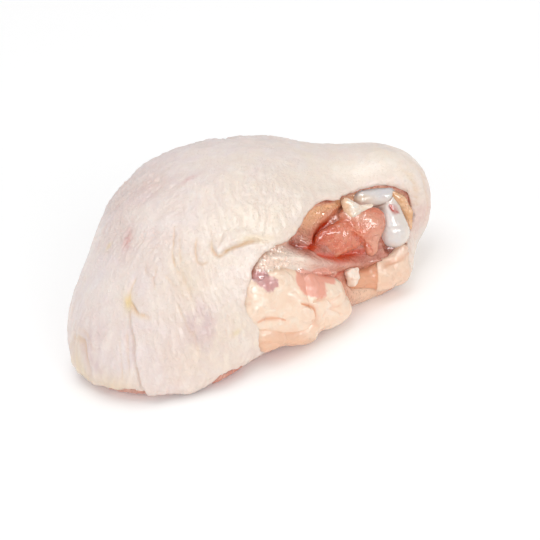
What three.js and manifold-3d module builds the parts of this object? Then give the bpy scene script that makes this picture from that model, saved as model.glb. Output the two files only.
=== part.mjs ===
// Raw chicken thigh, skin side up, in millimetres with +Z up.
//
// The thigh is a plump body wrapped in one sheet of skin. The sheet covers the top, the back and
// both ends, is tucked under at the back and is open at the front right, where the drumstick was
// cut off. The opening shows meat, a loose flap of muscle, the glassy end of the thigh bone, two
// cushions of fat and two scraps of tendon and fat. The piece lies flat on its own underside.
//
// Everything starts from one closed surface, the outline of the whole thigh. A direction seen from
// the middle of the thigh hits it once, so a piece is that surface moved in or out along directions.

import * as THREE from 'three'
import { mergeVertices } from 'three/addons/utils/BufferGeometryUtils.js'
import Module from 'manifold-3d'

// ---------------------------------------------------------------- driving dimensions
const MIDDLE = [-4, 4, 20] // the point that all directions start from
const BLEND = 6 // how softly the four masses of the body run together
const FLOOR_ROUND = 2.2 // rounding of the edge where the body meets the board
const PRESSED_FLAT = 0.3 // depth of soft underside that the board presses flat
const SEARCH_RADIUS = 95 // no part of the body is farther from the middle than this
const ARC = 45 // millimetres of surface for one radian of direction, on average

const SKIN_THICKNESS = 2.0
const SKIN_EDGE = 0.9 // thickness of the cut edge of the skin
const SKIN_TO_MEAT = 1.4 // how far the meat stays behind the inside of the skin
const GAP = 0.35 // gap kept between neighbouring pieces
const OPENING_DEPTH = 3.0 // how far the meat lies back where the skin is open
const FINE_CELL = 0.067 // skin mesh, radians a cell, over the folds at the front
const COARSE_CELL = 0.135 // and elsewhere
const MEAT_CELLS = 13 // cells along each edge of the meat's cube sphere
const LOBE_CELLS = 7
const SCRAP_CELLS = 4

// The four masses: centre, reach on the low and high side of each axis, and how square they are
const BODY = [
  { name: 'haunch', centre: [-8, 10, 12], reach: [[40, 46], [46, 36], [19, 42]], power: 2.3 },
  { name: 'flank', centre: [-24, -6, 2], reach: [[37, 18], [34, 20], [10, 29]], power: 2.3 },
  { name: 'knee', centre: [42, 12, 24], reach: [[28, 20], [11, 16], [18, 15.5]], power: 2.3 },
  { name: 'belly', centre: [18, -7, 7], reach: [[24, 32], [7, 20], [13, 21]], power: 2.3 },
]

// The edge of the skin, drawn on a flat map of directions: the distance from the map's origin is
// the angle from straight up in radians, and the bearing on the map is the bearing round +Z.
const FRONT_EDGE = [ // the flap's right side, the lip over the opening, the strip beside the knee
  [0.13, -2.01], [0.24, -1.93], [0.12, -1.65], [0.04, -1.48], [0.13, -1.33], [0.31, -1.12],
  [0.63, -0.95], [0.85, -0.64], [0.97, -0.46], [1.11, -0.37], [1.26, -0.15], [1.40, -0.10],
  [1.54, -0.14], [1.62, -0.26], [1.63, -0.39], [1.83, -0.48],
]
const TUCKED_EDGE = [ // out of sight under the right end and the back
  [2.02, -0.40], [2.12, -0.12], [2.12, 0.35], [2.00, 0.85], [1.75, 1.30], [1.35, 1.70],
  [0.80, 2.05], [0.20, 2.20], [-0.40, 2.15], [-1.00, 1.95], [-1.50, 1.55], [-1.85, 1.00],
  [-1.98, 0.45], [-1.96, -0.05],
]
const LEFT_HEM = [ // along the left end to the front flap
  [-1.84, -0.38], [-1.71, -0.62], [-1.48, -1.02], [-1.22, -1.29], [-1.14, -1.46], [-0.99, -1.60],
  [-0.76, -1.79], [-0.48, -1.84], [-0.11, -2.00],
]
const EDGE_WAVE = 0.012 // raggedness of the edge, radians

// Folds in the skin on the same map. Each is a groove with the skin heaped up on its left side.
const FOLDS = [
  { name: 'lip', path: [[-0.20, -0.88], [-0.10, -1.03], [0.10, -1.01], [0.44, -1.03]],
    depth: 1.3, width: 2.0, heap: 1.3 },
  { name: 'loop', path: [[-0.29, -0.78], [-0.34, -0.97], [-0.30, -1.06], [-0.21, -1.06]],
    depth: 0.8, width: 1.8, heap: 0.8 },
  { name: 'long', path: [[-0.41, -0.59], [-0.49, -0.86], [-0.48, -1.04], [-0.45, -1.24]],
    depth: 0.9, width: 1.8, heap: 0.8 },
  { name: 'vee', path: [[-0.76, -0.77], [-0.74, -0.95], [-0.69, -1.02], [-0.63, -0.99]],
    depth: 0.7, width: 1.6, heap: 0.5 },
  { name: 'rays', path: [[-0.96, -0.93], [-0.90, -1.09], [-0.80, -1.06], [-0.69, -1.05]],
    depth: 0.8, width: 1.6, heap: 0.6 },
]
const FLAP_SIDE = [[-0.95, -0.98], [-1.01, -1.20], [-1.08, -1.31], [-1.17, -1.44]]
const FLAP_RISE = 1.7 // how far the front flap stands over the skin at its left
const FLAP_REACH = 9 // how fast that rise dies away across the flap
const HEM_BULGE = { at: [-0.86, -1.73], size: 8, rise: 1.6 }

// Hollows in the meat of the opening: place on the map, size in millimetres, depth
const HOLLOWS = [
  { name: 'under_lip', at: [0.95, -0.70], size: [9, 6.5], turn: 0.7, depth: 4.6 },
  { name: 'lip_corner', at: [0.76, -0.92], size: [4, 3], turn: 0, depth: 2.0 },
  { name: 'behind_bone', at: [1.45, -0.26], size: [7, 8], turn: 0, depth: 4.5 },
  { name: 'behind_muscle', at: [1.25, -0.61], size: [8, 6], turn: 0, depth: 2.5 },
  { name: 'behind_fat', at: [0.63, -1.54], size: [9, 9], turn: 0, depth: 2.5 },
]
const MEAT_STRIP = [[0.42, -1.12], [0.72, -1.08], [1.08, -1.00], [1.45, -0.76], [1.58, -0.57]]
const STRIP_RISE = 1.6
const STRIP_WIDTH = 2.6

// Seams between the muscles of the underside, on a map seen from below (x, y in millimetres)
const UNDER_SEAMS = [
  { path: [[-48, 2], [-20, 12], [12, 8], [40, 4]], depth: 1.8, width: 2.4 },
  { path: [[-20, 12], [-12, 26], [4, 38]], depth: 1.5, width: 2.2 },
]

// Lobes: rounded cones from point a to point b, flattened along a direction where flat is under 1
const OUT_FRONT = [0.32, -0.94, 0.1] // away from the meat under the front fat
const OUT_KNEE = [0.44, -0.86, 0.24] // and away from the knee
const LOBES = {
  femur_end: {
    soft: 0.45, centre: [48, 3, 24], cells: LOBE_CELLS, colour: '#e0dfe4', roughness: 0.25,
    cones: [
      { a: [40.5, -1, 30.5], b: [48.5, 2.5, 28], ra: 3.0, rb: 3.6, flat: 0.9, out: OUT_KNEE },
      { a: [49, 0, 24], b: [48, -6, 18.5], ra: 3.2, rb: 4.5, flat: 0.85, out: OUT_KNEE },
      { a: [47.5, 4, 24], b: [47.5, 8, 21.5], ra: 5.0, rb: 6.0, flat: 1, out: OUT_KNEE },
    ],
  },
  tendon_tab: {
    soft: 0.5, centre: [38.5, -4.5, 30.8], cells: SCRAP_CELLS, colour: '#f0d9b4', roughness: 0.35,
    cones: [
      { a: [36, -5.5, 32.2], b: [40.5, -4.6, 30], ra: 2.2, rb: 2.5, flat: 1, out: OUT_KNEE },
    ],
  },
  fat_tag: {
    soft: 0.5, centre: [31.5, -17.5, 12.8], cells: SCRAP_CELLS, colour: '#f4dccb', roughness: 0.35,
    cones: [
      { a: [31.5, -17.5, 14], b: [31.5, -17.5, 11.5], ra: 2.1, rb: 1.9, flat: 1, out: OUT_KNEE },
    ],
  },
  muscle_flap: {
    soft: 0.7, centre: [36.5, -8.5, 25], cells: LOBE_CELLS, colour: '#df8f76', roughness: 0.3,
    cones: [
      { a: [26.5, -16, 26], b: [38, -8, 25], ra: 5.0, rb: 5.4, flat: 1, out: OUT_KNEE },
      { a: [35, -7.5, 28.5], b: [42, -6, 25], ra: 3.8, rb: 4.2, flat: 1, out: OUT_KNEE },
      { a: [41, -9, 23.5], b: [39.5, -12, 18], ra: 3.6, rb: 2.2, flat: 1, out: OUT_KNEE },
    ],
  },
  knee_fat: {
    soft: 0.6, centre: [42, -11, 8.8], cells: LOBE_CELLS, colour: '#efccb4', roughness: 0.35,
    cones: [
      { a: [32, -16, 11.5], b: [40.5, -11.5, 7.5], ra: 3.0, rb: 3.6, flat: 1, out: OUT_KNEE },
      { a: [40, -12, 9], b: [45.5, -10, 7.5], ra: 4.8, rb: 4.6, flat: 1, out: OUT_KNEE },
      { a: [46.5, -10, 11], b: [48.5, -8.5, 14.5], ra: 3.4, rb: 2.4, flat: 1, out: OUT_KNEE },
    ],
  },
  front_fat: {
    soft: 0.6, centre: [12.5, -28, 13.5], cells: LOBE_CELLS + 1, colour: '#f6dcc2', roughness: 0.35,
    cones: [
      { a: [3, -31, 19], b: [12, -29, 14.5], ra: 7.8, rb: 7.8, flat: 0.55, out: OUT_FRONT },
      { a: [22, -24.5, 12.5], b: [23, -23.5, 7.5], ra: 5.8, rb: 5.8, flat: 0.75, out: OUT_FRONT },
      { a: [2, -33, 10], b: [12.5, -29, 6], ra: 4.6, rb: 4.2, flat: 0.8, out: OUT_FRONT },
      { a: [6.5, -29.5, 25], b: [15.5, -27, 19.5], ra: 4.4, rb: 3.8, flat: 0.7, out: OUT_FRONT },
    ],
  },
}

// ---------------------------------------------------------------- small helpers
const clamp = THREE.MathUtils.clamp
const smooth = (x, from, to) => THREE.MathUtils.smoothstep(x, from, to)
const bell = (distance, size) => Math.exp(-((distance / size) ** 2))
const plus = (p, q, scale = 1) => p.map((value, axis) => value + scale * q[axis])
const dot = (p, q) => p[0] * q[0] + p[1] * q[1] + p[2] * q[2]
const unit = (p) => p.map((value) => value / Math.hypot(...p))

// Smallest of several distances, rounded off where they meet
function softMin(distances, soft) {
  const least = Math.min(...distances)
  const sum = distances.reduce((total, d) => total + Math.exp((least - d) / soft), 0)
  return least - soft * Math.log(sum)
}

// A smooth line through points on the map, closed or open, with some steps between two points
function smoothLine(points, closed, steps) {
  const corners = points.map(([x, y]) => new THREE.Vector3(x, y, 0))
  const curve = new THREE.CatmullRomCurve3(corners, closed, 'centripetal')
  const line = curve.getPoints(steps * points.length).map((p) => [p.x, p.y])
  return closed ? line.slice(0, -1) : line
}

// Nearest point of a line: its distance, how far along it is (0 to 1), which side, and where
function nearestOnLine(x, y, line, closed) {
  const count = closed ? line.length : line.length - 1
  let best = { distance: Infinity }
  for (let i = 0; i < count; i++) {
    const [ax, ay] = line[i]
    const [bx, by] = line[(i + 1) % line.length]
    const [dx, dy] = [bx - ax, by - ay]
    const share = clamp(((x - ax) * dx + (y - ay) * dy) / (dx * dx + dy * dy), 0, 1)
    const [nearX, nearY] = [ax + share * dx, ay + share * dy]
    const distance = Math.hypot(x - nearX, y - nearY)
    if (distance < best.distance) {
      const side = Math.sign(dx * (y - ay) - dy * (x - ax))
      best = { distance, along: (i + share) / count, side, at: [nearX, nearY] }
    }
  }
  return best
}

function insideLoop(x, y, loop) {
  let inside = false
  loop.forEach(([ax, ay], i) => {
    const [bx, by] = loop[(i + 1) % loop.length]
    const crosses = ay > y !== by > y && x < ((bx - ax) * (y - ay)) / (by - ay) + ax
    if (crosses) inside = !inside
  })
  return inside
}

// Distance from a point to a rounded cone. Space is stretched along `out`, which flattens it.
function coneDistance(point, cone) {
  const out = unit(cone.out)
  const stretch = 1 / cone.flat - 1
  const rel = plus(point, cone.a, -1)
  const from = plus(rel, out, stretch * dot(rel, out))
  const step = plus(cone.b, cone.a, -1)
  const axis = plus(step, out, stretch * dot(step, out))
  const share = clamp(dot(from, axis) / dot(axis, axis), 0, 1)
  return Math.hypot(...plus(from, axis, -share)) - (cone.ra + (cone.rb - cone.ra) * share)
}

// ---------------------------------------------------------------- the outline of the whole thigh
function massDistance(point, { centre, reach, power }) {
  const size = reach.flat().reduce((total, r) => total + r, 0) / 6
  const sum = point.reduce((total, value, axis) => {
    const away = value - centre[axis]
    const radius = reach[axis][away < 0 ? 0 : 1]
    return total + Math.abs(away / radius) ** power
  }, 0)
  return (sum ** (1 / power) - 1) * size
}

// Below zero inside the body. Its foot is rounded off into the flat of the board.
function bodyDistance(point) {
  const mass = softMin(BODY.map((part) => 0.9 * massDistance(point, part)), BLEND)
  return -softMin([-mass, point[2] + PRESSED_FLAT], FLOOR_ROUND)
}

function bodyRadius(direction) {
  let [inner, outer] = [0, SEARCH_RADIUS]
  for (let step = 0; step < 24; step++) {
    const half = (inner + outer) / 2
    if (bodyDistance(plus(MIDDLE, direction, half)) < 0) inner = half
    else outer = half
  }
  return (inner + outer) / 2
}

// The map: a flat position to a direction, and back
function mapToDirection([x, y]) {
  const tilt = Math.hypot(x, y)
  const turn = Math.atan2(y, x)
  return [Math.sin(tilt) * Math.cos(turn), Math.sin(tilt) * Math.sin(turn), Math.cos(tilt)]
}

function directionToMap([x, y, z]) {
  const tilt = Math.acos(clamp(z, -1, 1))
  const turn = Math.atan2(y, x)
  return [tilt * Math.cos(turn), tilt * Math.sin(turn)]
}

const onBoard = (point, board = 0) => [point[0], point[1], Math.max(point[2], board)]

// ---------------------------------------------------------------- solids
const wasm = await Module()
wasm.setup()

function toSolid(points, triangles) {
  const vertProperties = new Float32Array(points.flat())
  const triVerts = new Uint32Array(triangles.flat())
  return new wasm.Manifold(new wasm.Mesh({ numProp: 3, vertProperties, triVerts }))
}

// Cutting can leave loose crumbs, so only the largest body is kept
function largestBody(solid) {
  const bodies = solid.decompose()
  return bodies.reduce((best, body) => (body.volume() > best.volume() ? body : best))
}

function toGeometry(solid) {
  const { vertProperties, triVerts } = solid.getMesh()
  const geometry = new THREE.BufferGeometry()
  geometry.setAttribute('position', new THREE.BufferAttribute(vertProperties.slice(), 3))
  geometry.setIndex(new THREE.BufferAttribute(triVerts.slice(), 1))
  return geometry
}

// A ball of evenly spread points, made from a box: its directions and its triangles
function cubeSphere(cells) {
  const box = new THREE.BoxGeometry(2, 2, 2, cells, cells, cells)
  box.deleteAttribute('normal')
  box.deleteAttribute('uv')
  const merged = mergeVertices(box, 1e-4)
  const position = merged.getAttribute('position')
  const directions = []
  for (let i = 0; i < position.count; i++) {
    const corner = [position.getX(i), position.getY(i), position.getZ(i)]
    directions.push(unit(corner.map((value) => Math.tan((value * Math.PI) / 4))))
  }
  const index = Array.from(merged.index.array)
  const triangles = []
  for (let i = 0; i < index.length; i += 3) triangles.push(index.slice(i, i + 3))
  return { directions, triangles }
}

// ---------------------------------------------------------------- skin
const RIM = smoothLine([...FRONT_EDGE, ...TUCKED_EDGE, ...LEFT_HEM], true, 5).map(([x, y]) => {
  const wave = EDGE_WAVE * (Math.sin(13 * x + 9 * y) + 0.6 * Math.sin(19 * y - 11 * x))
  const length = Math.hypot(x, y)
  return [x + (wave * x) / length, y + (wave * y) / length]
})
const FOLD_LINES = FOLDS.map((fold) => smoothLine(fold.path, false, 4))
const FLAP_LINE = smoothLine(FLAP_SIDE, false, 4)

// How far the skin stands out of the body's outline at a place on the map
function skinRelief([x, y]) {
  let rise = 0
  FOLDS.forEach((fold, i) => {
    const near = nearestOnLine(x, y, FOLD_LINES[i], false)
    const away = near.distance * ARC
    const fade = smooth(near.along, 0, 0.2) * smooth(1 - near.along, 0, 0.2)
    const heap = near.side > 0 ? fold.heap * bell(away - 1.5 * fold.width, fold.width) : 0
    rise += (0.25 + 0.75 * fade) * (heap - fold.depth * bell(away, fold.width))
  })
  const side = nearestOnLine(x, y, FLAP_LINE, false)
  const across = side.distance * ARC * side.side
  const flap = smooth(across, -1, 1) * Math.exp(-Math.max(across, 0) / FLAP_REACH)
  rise += FLAP_RISE * flap * smooth(side.along, 0, 0.25)
  const [bulgeX, bulgeY] = HEM_BULGE.at
  rise += HEM_BULGE.rise * bell(Math.hypot(x - bulgeX, y - bulgeY) * ARC, HEM_BULGE.size)
  return rise
}

// Grid lines that are close together from `fineFrom` to `fineTo` and wider apart elsewhere
function gridLines(from, to, fineFrom, fineTo) {
  const lines = [from]
  while (lines.at(-1) < to) {
    const last = lines.at(-1)
    const away = Math.max(fineFrom - last, last - fineTo, 0)
    lines.push(last + FINE_CELL + (COARSE_CELL - FINE_CELL) * smooth(away, 0, 0.35))
  }
  return lines
}

// Cells of the map that the skin fills. Single cells that hang on by a corner are dropped.
function skinCells(xs, ys) {
  const filled = xs.slice(1).map((x1, i) => ys.slice(1).map((y1, j) =>
    insideLoop((xs[i] + x1) / 2, (ys[j] + y1) / 2, RIM)))
  const has = (i, j) => Boolean(filled[i]?.[j])
  for (let pass = 0; pass < 3; pass++) {
    filled.forEach((column, i) => column.forEach((full, j) => {
      const beside = [has(i - 1, j), has(i + 1, j), has(i, j - 1), has(i, j + 1)]
      const corner = [[1, 1], [1, -1], [-1, 1], [-1, -1]].some(([di, dj]) =>
        has(i + di, j + dj) && !has(i + di, j) && !has(i, j + dj))
      if (full && (beside.filter(Boolean).length < 2 || corner)) column[j] = false
    }))
  }
  return filled
}

// The sheet as a flat mesh on the map: points, cells and the edges round its border
function skinSheet() {
  const xs = gridLines(-2.2, 2.3, -1.25, 0.35)
  const ys = gridLines(-2.2, 2.4, -1.65, -0.75)
  const filled = skinCells(xs, ys)
  const points = []
  const numbers = new Map()
  const number = (i, j) => {
    const key = i * ys.length + j
    if (!numbers.has(key)) numbers.set(key, points.push([xs[i], ys[j]]) - 1)
    return numbers.get(key)
  }
  const cells = []
  filled.forEach((column, i) => column.forEach((full, j) => {
    if (full) cells.push([number(i, j), number(i + 1, j), number(i + 1, j + 1), number(i, j + 1)])
  }))
  const edges = new Map()
  cells.forEach((cell) => cell.forEach((a, k) => {
    const b = cell[(k + 1) % 4]
    if (edges.has(`${b} ${a}`)) edges.delete(`${b} ${a}`)
    else edges.set(`${a} ${b}`, [a, b])
  }))
  const border = [...edges.values()]
  pullToRim(points, border)
  easeInside(points, cells, new Set(border.flat()))
  return { points, cells, border }
}

// Moves the stepped border of the grid onto the rim and evens out its spacing
function pullToRim(points, border) {
  const snap = ([x, y]) => nearestOnLine(x, y, RIM, true).at
  const before = new Map(border.map(([a, b]) => [b, a]))
  border.forEach(([a]) => { points[a] = snap(points[a]) })
  for (let pass = 0; pass < 4; pass++) {
    const moved = border.map(([a, b]) => {
      const [left, right] = [points[before.get(a)], points[b]]
      return [a, snap(points[a].map((v, k) => 0.5 * v + 0.25 * (left[k] + right[k])))]
    })
    moved.forEach(([a, point]) => { points[a] = point })
  }
}

// Lets the points inside the border follow it, so that no cell is left thin or folded over
function easeInside(points, cells, fixed) {
  const beside = points.map(() => new Set())
  cells.forEach((cell) => cell.forEach((a, k) => {
    beside[a].add(cell[(k + 1) % 4])
    beside[a].add(cell[(k + 3) % 4])
  }))
  const near = points.map((_, a) => !fixed.has(a) && [...beside[a]].some((b) => fixed.has(b)))
  for (let pass = 0; pass < 10; pass++) {
    points.forEach((point, a) => {
      if (!near[a]) return
      const around = [...beside[a]].map((b) => points[b])
      points[a] = point.map((v, k) =>
        0.4 * v + (0.6 * around.reduce((total, p) => total + p[k], 0)) / around.length)
    })
  }
}

// Places on the map with the border pushed out sideways by some millimetres
function growBorder({ points, border }, grow) {
  const before = new Map(border.map(([a, b]) => [b, a]))
  const grown = points.slice()
  border.forEach(([a, b]) => {
    const [left, right] = [points[before.get(a)], points[b]]
    const [dx, dy] = [right[0] - left[0], right[1] - left[1]]
    const push = grow / ARC / Math.hypot(dx, dy)
    grown[a] = [points[a][0] + dy * push, points[a][1] - dx * push]
  })
  return grown
}

// The skin as a solid sheet. With `grow` it is larger all round, to cut its neighbours clear.
const SHEET = skinSheet()
function skinSolid(grow) {
  const { cells, border } = SHEET
  const points = growBorder(SHEET, grow)
  const onEdge = new Set(border.flat())
  const faces = points.map((place, a) => {
    const direction = mapToDirection(place)
    const thick = (onEdge.has(a) ? SKIN_EDGE : SKIN_THICKNESS) + 2 * grow
    const middle = bodyRadius(direction) + skinRelief(place) - SKIN_THICKNESS / 2
    return [middle + thick / 2, middle - thick / 2].map((r) => plus(MIDDLE, direction, r))
  })
  const outside = faces.map(([face]) => onBoard(face, -grow))
  const inside = faces.map(([, face]) => onBoard(face, -grow))
  const under = points.length
  const triangles = []
  cells.forEach(([a, b, c, d]) => {
    triangles.push([a, b, c], [a, c, d])
    triangles.push([under + a, under + c, under + b], [under + a, under + d, under + c])
  })
  border.forEach(([a, b]) => {
    triangles.push([a, under + a, under + b], [a, under + b, b])
  })
  return toSolid([...outside, ...inside], triangles)
}

// ---------------------------------------------------------------- meat
const STRIP_LINE = smoothLine(MEAT_STRIP, false, 4)
const SEAM_LINES = UNDER_SEAMS.map((seam) => smoothLine(seam.path, false, 4))

function hollowDepth([x, y], hollow) {
  const [dx, dy] = [(x - hollow.at[0]) * ARC, (y - hollow.at[1]) * ARC]
  const [cos, sin] = [Math.cos(hollow.turn), Math.sin(hollow.turn)]
  const [u, v] = [dx * cos + dy * sin, dy * cos - dx * sin]
  return hollow.depth * Math.exp(-((u / hollow.size[0]) ** 2) - (v / hollow.size[1]) ** 2)
}

// How far the meat lies behind the body's outline
function meatDepth(direction) {
  const place = directionToMap(direction)
  const [x, y] = place
  const side = insideLoop(x, y, RIM) ? 1 : -1
  const fromEdge = side * nearestOnLine(x, y, RIM, true).distance * ARC
  const covered = smooth(fromEdge, -9, -3)
  const under = smooth(Math.hypot(x, y), 1.75, 1.95)
  const open = (1 - covered) * (1 - under)
  const hollows = HOLLOWS.reduce((total, hollow) => total + hollowDepth(place, hollow), 0)
  const strip = STRIP_RISE * bell(nearestOnLine(x, y, STRIP_LINE, false).distance * ARC, STRIP_WIDTH)
  return covered * (SKIN_THICKNESS + SKIN_TO_MEAT) + open * (OPENING_DEPTH + hollows - strip)
}

// Lifts the underside off the board along the seams between its muscles
function liftSeams(point) {
  if (point[2] > 6) return point
  const lift = UNDER_SEAMS.map((seam, i) => {
    const near = nearestOnLine(point[0], point[1], SEAM_LINES[i], false)
    return seam.depth * bell(near.distance, seam.width)
  })
  return [point[0], point[1], point[2] + Math.max(...lift)]
}

function meatSolid() {
  const { directions, triangles } = cubeSphere(MEAT_CELLS)
  const points = directions.map((direction) => {
    const radius = bodyRadius(direction) - meatDepth(direction)
    return liftSeams(onBoard(plus(MIDDLE, direction, radius)))
  })
  return toSolid(points, triangles)
}

// ---------------------------------------------------------------- lobes
function lobeSolid({ cones, soft, centre, cells }, grow = 0) {
  const { directions, triangles } = cubeSphere(cells)
  const filled = (point) => softMin(cones.map((cone) => coneDistance(point, cone)), soft) < grow
  const points = directions.map((direction) => {
    let reach = 0
    while (filled(plus(centre, direction, reach + 0.5))) reach += 0.5
    let [inner, outer] = [reach, reach + 0.5]
    for (let step = 0; step < 12; step++) {
      const half = (inner + outer) / 2
      if (filled(plus(centre, direction, half))) inner = half
      else outer = half
    }
    return plus(centre, direction, inner)
  })
  return toSolid(points, triangles)
}

// ---------------------------------------------------------------- the thigh
const group = new THREE.Group()

function addPiece(name, solid, colour, roughness) {
  const material = new THREE.MeshStandardMaterial({ color: colour, roughness, metalness: 0 })
  const mesh = new THREE.Mesh(toGeometry(largestBody(solid)), material)
  mesh.name = name
  group.add(mesh)
}

// The skin is whole. Each lobe makes room for the skin and for the lobes placed before it, and
// the meat makes room for all of them.
addPiece('skin', skinSolid(0), '#efe0d4', 0.4)
let taken = skinSolid(GAP)
for (const [name, lobe] of Object.entries(LOBES)) {
  addPiece(name, lobeSolid(lobe).subtract(taken), lobe.colour, lobe.roughness)
  taken = taken.add(lobeSolid(lobe, GAP))
}
addPiece('thigh_meat', meatSolid().subtract(taken), '#dc9a80', 0.35)

// The origin is on the board, under the middle of the thigh
const bounds = new THREE.Box3().setFromObject(group)
const middle = bounds.getCenter(new THREE.Vector3())
group.position.set(-middle.x, -middle.y, -bounds.min.z)
group.updateMatrixWorld(true)

export default group
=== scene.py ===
# %% [markdown]
# # A raw chicken thigh, skin side up
#
# The thigh is a soft body wrapped in one sheet of skin. At the knee end the skin is open, and in
# the opening lie meat, a loose flap of muscle, the glassy end of the bone and cushions of fat.
# Nothing here is flat or round, so the shapes could be sculpted by hand, blended from metaballs or
# worked out by formulas. This lesson uses formulas on numpy arrays: each piece is one surface,
# moved in or out point by point, so every fold has a name and a size that can be changed.

# %% The imported solids
import math

import bpy
import numpy as np
from mathutils import Matrix, Vector


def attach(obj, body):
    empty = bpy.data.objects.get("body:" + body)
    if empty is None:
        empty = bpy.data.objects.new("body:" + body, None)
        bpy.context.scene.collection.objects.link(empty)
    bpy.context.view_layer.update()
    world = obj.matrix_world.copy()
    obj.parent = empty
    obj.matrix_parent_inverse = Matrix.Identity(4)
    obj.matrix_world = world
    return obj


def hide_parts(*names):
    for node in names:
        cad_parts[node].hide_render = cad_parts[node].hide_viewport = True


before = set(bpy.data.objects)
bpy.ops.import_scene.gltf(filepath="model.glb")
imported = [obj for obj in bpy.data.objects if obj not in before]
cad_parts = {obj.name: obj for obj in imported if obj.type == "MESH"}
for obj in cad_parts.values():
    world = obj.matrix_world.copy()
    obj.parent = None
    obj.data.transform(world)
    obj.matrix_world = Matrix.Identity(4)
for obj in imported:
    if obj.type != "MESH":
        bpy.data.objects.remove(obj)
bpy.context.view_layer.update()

print("solids:", ", ".join(sorted(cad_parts)))

# %% [markdown]
# ## Measures
#
# Raw meat is easiest to think of in millimetres, so every form below is in millimetres, measured
# from the point of the board that the thigh was first drawn on. The solids sit a little to the
# side of that point, centred in their box, and everything is moved there as a mesh is made.

# %% Units and the middle of the board
MM = 0.001
BOARD_MIDDLE = np.array((0.84, 1.20, 0.0))  # what the box is centred on, in drawing millimetres
THIGH_MIDDLE = np.array((-4.0, 4.0, 20.0))  # every direction starts from this point
ARC = 45.0  # millimetres of surface for one radian of direction, on average


def to_scene(points):
    return (np.asarray(points, float) - BOARD_MIDDLE) * MM


print("one radian on the map is about", ARC, "mm of skin")

# %% [markdown]
# ## Camera
#
# The photograph is taken from the front and about thirty degrees above, and the piece leans to
# the right in it. The thigh lies flat here, so the camera is tilted instead: rolled by fourteen
# degrees, it sees the thigh just as the photograph does. A long lens keeps the view nearly
# parallel, as in studio pictures of food.

# %% Camera
PICTURE = 540  # pixels along one side of the picture
CAMERA_RISE = math.radians(30.0)
CAMERA_ROLL = math.radians(14.0)
CAMERA_DISTANCE = 700.0
PIXELS_PER_MM = 3.104
AIM = np.array((6.8, 0.0, 13.0))
SENSOR = 36.0

upward = np.array((0.0, math.sin(CAMERA_RISE), math.cos(CAMERA_RISE)))
sideways = np.array((1.0, 0.0, 0.0))
camera_right = math.cos(CAMERA_ROLL) * sideways - math.sin(CAMERA_ROLL) * upward
camera_up = math.sin(CAMERA_ROLL) * sideways + math.cos(CAMERA_ROLL) * upward
camera_back = np.cross(camera_right, camera_up)

camera_data = bpy.data.cameras.new("photo_camera")
camera_data.sensor_width = SENSOR
camera_data.lens = SENSOR * PIXELS_PER_MM * CAMERA_DISTANCE / PICTURE
camera = bpy.data.objects.new("photo_camera", camera_data)
bpy.context.scene.collection.objects.link(camera)
turn = Matrix((camera_right, camera_up, camera_back)).transposed().to_4x4()
place = Vector(to_scene(AIM + camera_back * CAMERA_DISTANCE))
camera.matrix_world = Matrix.Translation(place) @ turn
bpy.context.scene.camera = camera
print("lens", round(camera_data.lens, 1), "mm")

# %% [markdown]
# ## Light and floor
#
# Wet food shows its form by its highlights as much as by its shade. A pale floor and a bright
# surround give the soft, nearly shadowless light of the photograph. Three large lamps model the
# form, most of all the one above. Two small lamps and three cards are there for their
# reflections: each drop of moisture mirrors them as a white point. The cards add nothing else.

# %% Light and floor
WORLD_LIGHT = 0.61


def lamp(name, spot, size, brightness):
    """A square lamp aimed at the thigh; `brightness` is what it adds to a white card facing it."""
    distance = math.dist(spot, AIM) * MM
    light = bpy.data.lights.new(name, "AREA")
    light.size = size * MM
    light.energy = brightness * math.pi**2 * distance**2
    holder = bpy.data.objects.new(name, light)
    holder.location = Vector(to_scene(spot))
    toward = Vector(to_scene(AIM)) - holder.location
    holder.rotation_euler = toward.to_track_quat("-Z", "Y").to_euler()
    bpy.context.scene.collection.objects.link(holder)
    return holder


def reflected_only(holder):
    """A bright card that shows in wet surfaces, but adds no light of its own."""
    holder.visible_diffuse = False


lamp("soft_top", (-100, 100, 1500), 1100, 0.26)
lamp("soft_front", (500, -1150, 700), 600, 0.15)
lamp("soft_left", (-1100, -600, 500), 700, 0.065)
lamp("glint_right", (650, -1050, 480), 100, 0.03)
lamp("glint_left", (-420, -1000, 720), 100, 0.03)
reflected_only(lamp("card_high", (520, -260, 1180), 480, 0.42))
reflected_only(lamp("card_front", (330, -1150, 600), 380, 0.26))
reflected_only(lamp("card_low", (900, -850, 330), 260, 0.14))

world = bpy.data.worlds.new("studio")
world.use_nodes = True
world.node_tree.nodes["Background"].inputs["Color"].default_value = (1.0, 1.0, 1.0, 1.0)
world.node_tree.nodes["Background"].inputs["Strength"].default_value = WORLD_LIGHT
bpy.context.scene.world = world
bpy.context.scene.view_settings.view_transform = "Standard"

FLOOR_HALF = 3.0  # metres
floor_mesh = bpy.data.meshes.new("studio_floor")
floor_corners = [(x * FLOOR_HALF, y * FLOOR_HALF, 0) for x, y in ((-1, -1), (1, -1), (1, 1), (-1, 1))]
floor_mesh.from_pydata(floor_corners, [], [(0, 1, 2, 3)])
floor = bpy.data.objects.new("studio_floor", floor_mesh)
bpy.context.scene.collection.objects.link(floor)
floor_paint = bpy.data.materials.new("pale_floor")
floor_paint.use_nodes = True
floor_shader = floor_paint.node_tree.nodes["Principled BSDF"]
floor_shader.inputs["Base Color"].default_value = (0.97, 0.97, 0.97, 1)
floor_shader.inputs["Roughness"].default_value = 0.9
floor_shader.inputs["Emission Color"].default_value = (1, 1, 1, 1)
floor_shader.inputs["Emission Strength"].default_value = 0.12  # a white table, lit from below a little
floor_mesh.materials.append(floor_paint)

# %% [markdown]
# ## Working with arrays
#
# A mesh of fifty thousand points is moved quickly when all its points are worked on at once.
# These few helpers do that: a soft step from nought to one, a bell that fades with distance, a
# smooth line through points, the distance to such a line, and noise, which is the unevenness that
# every living thing has.


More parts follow.
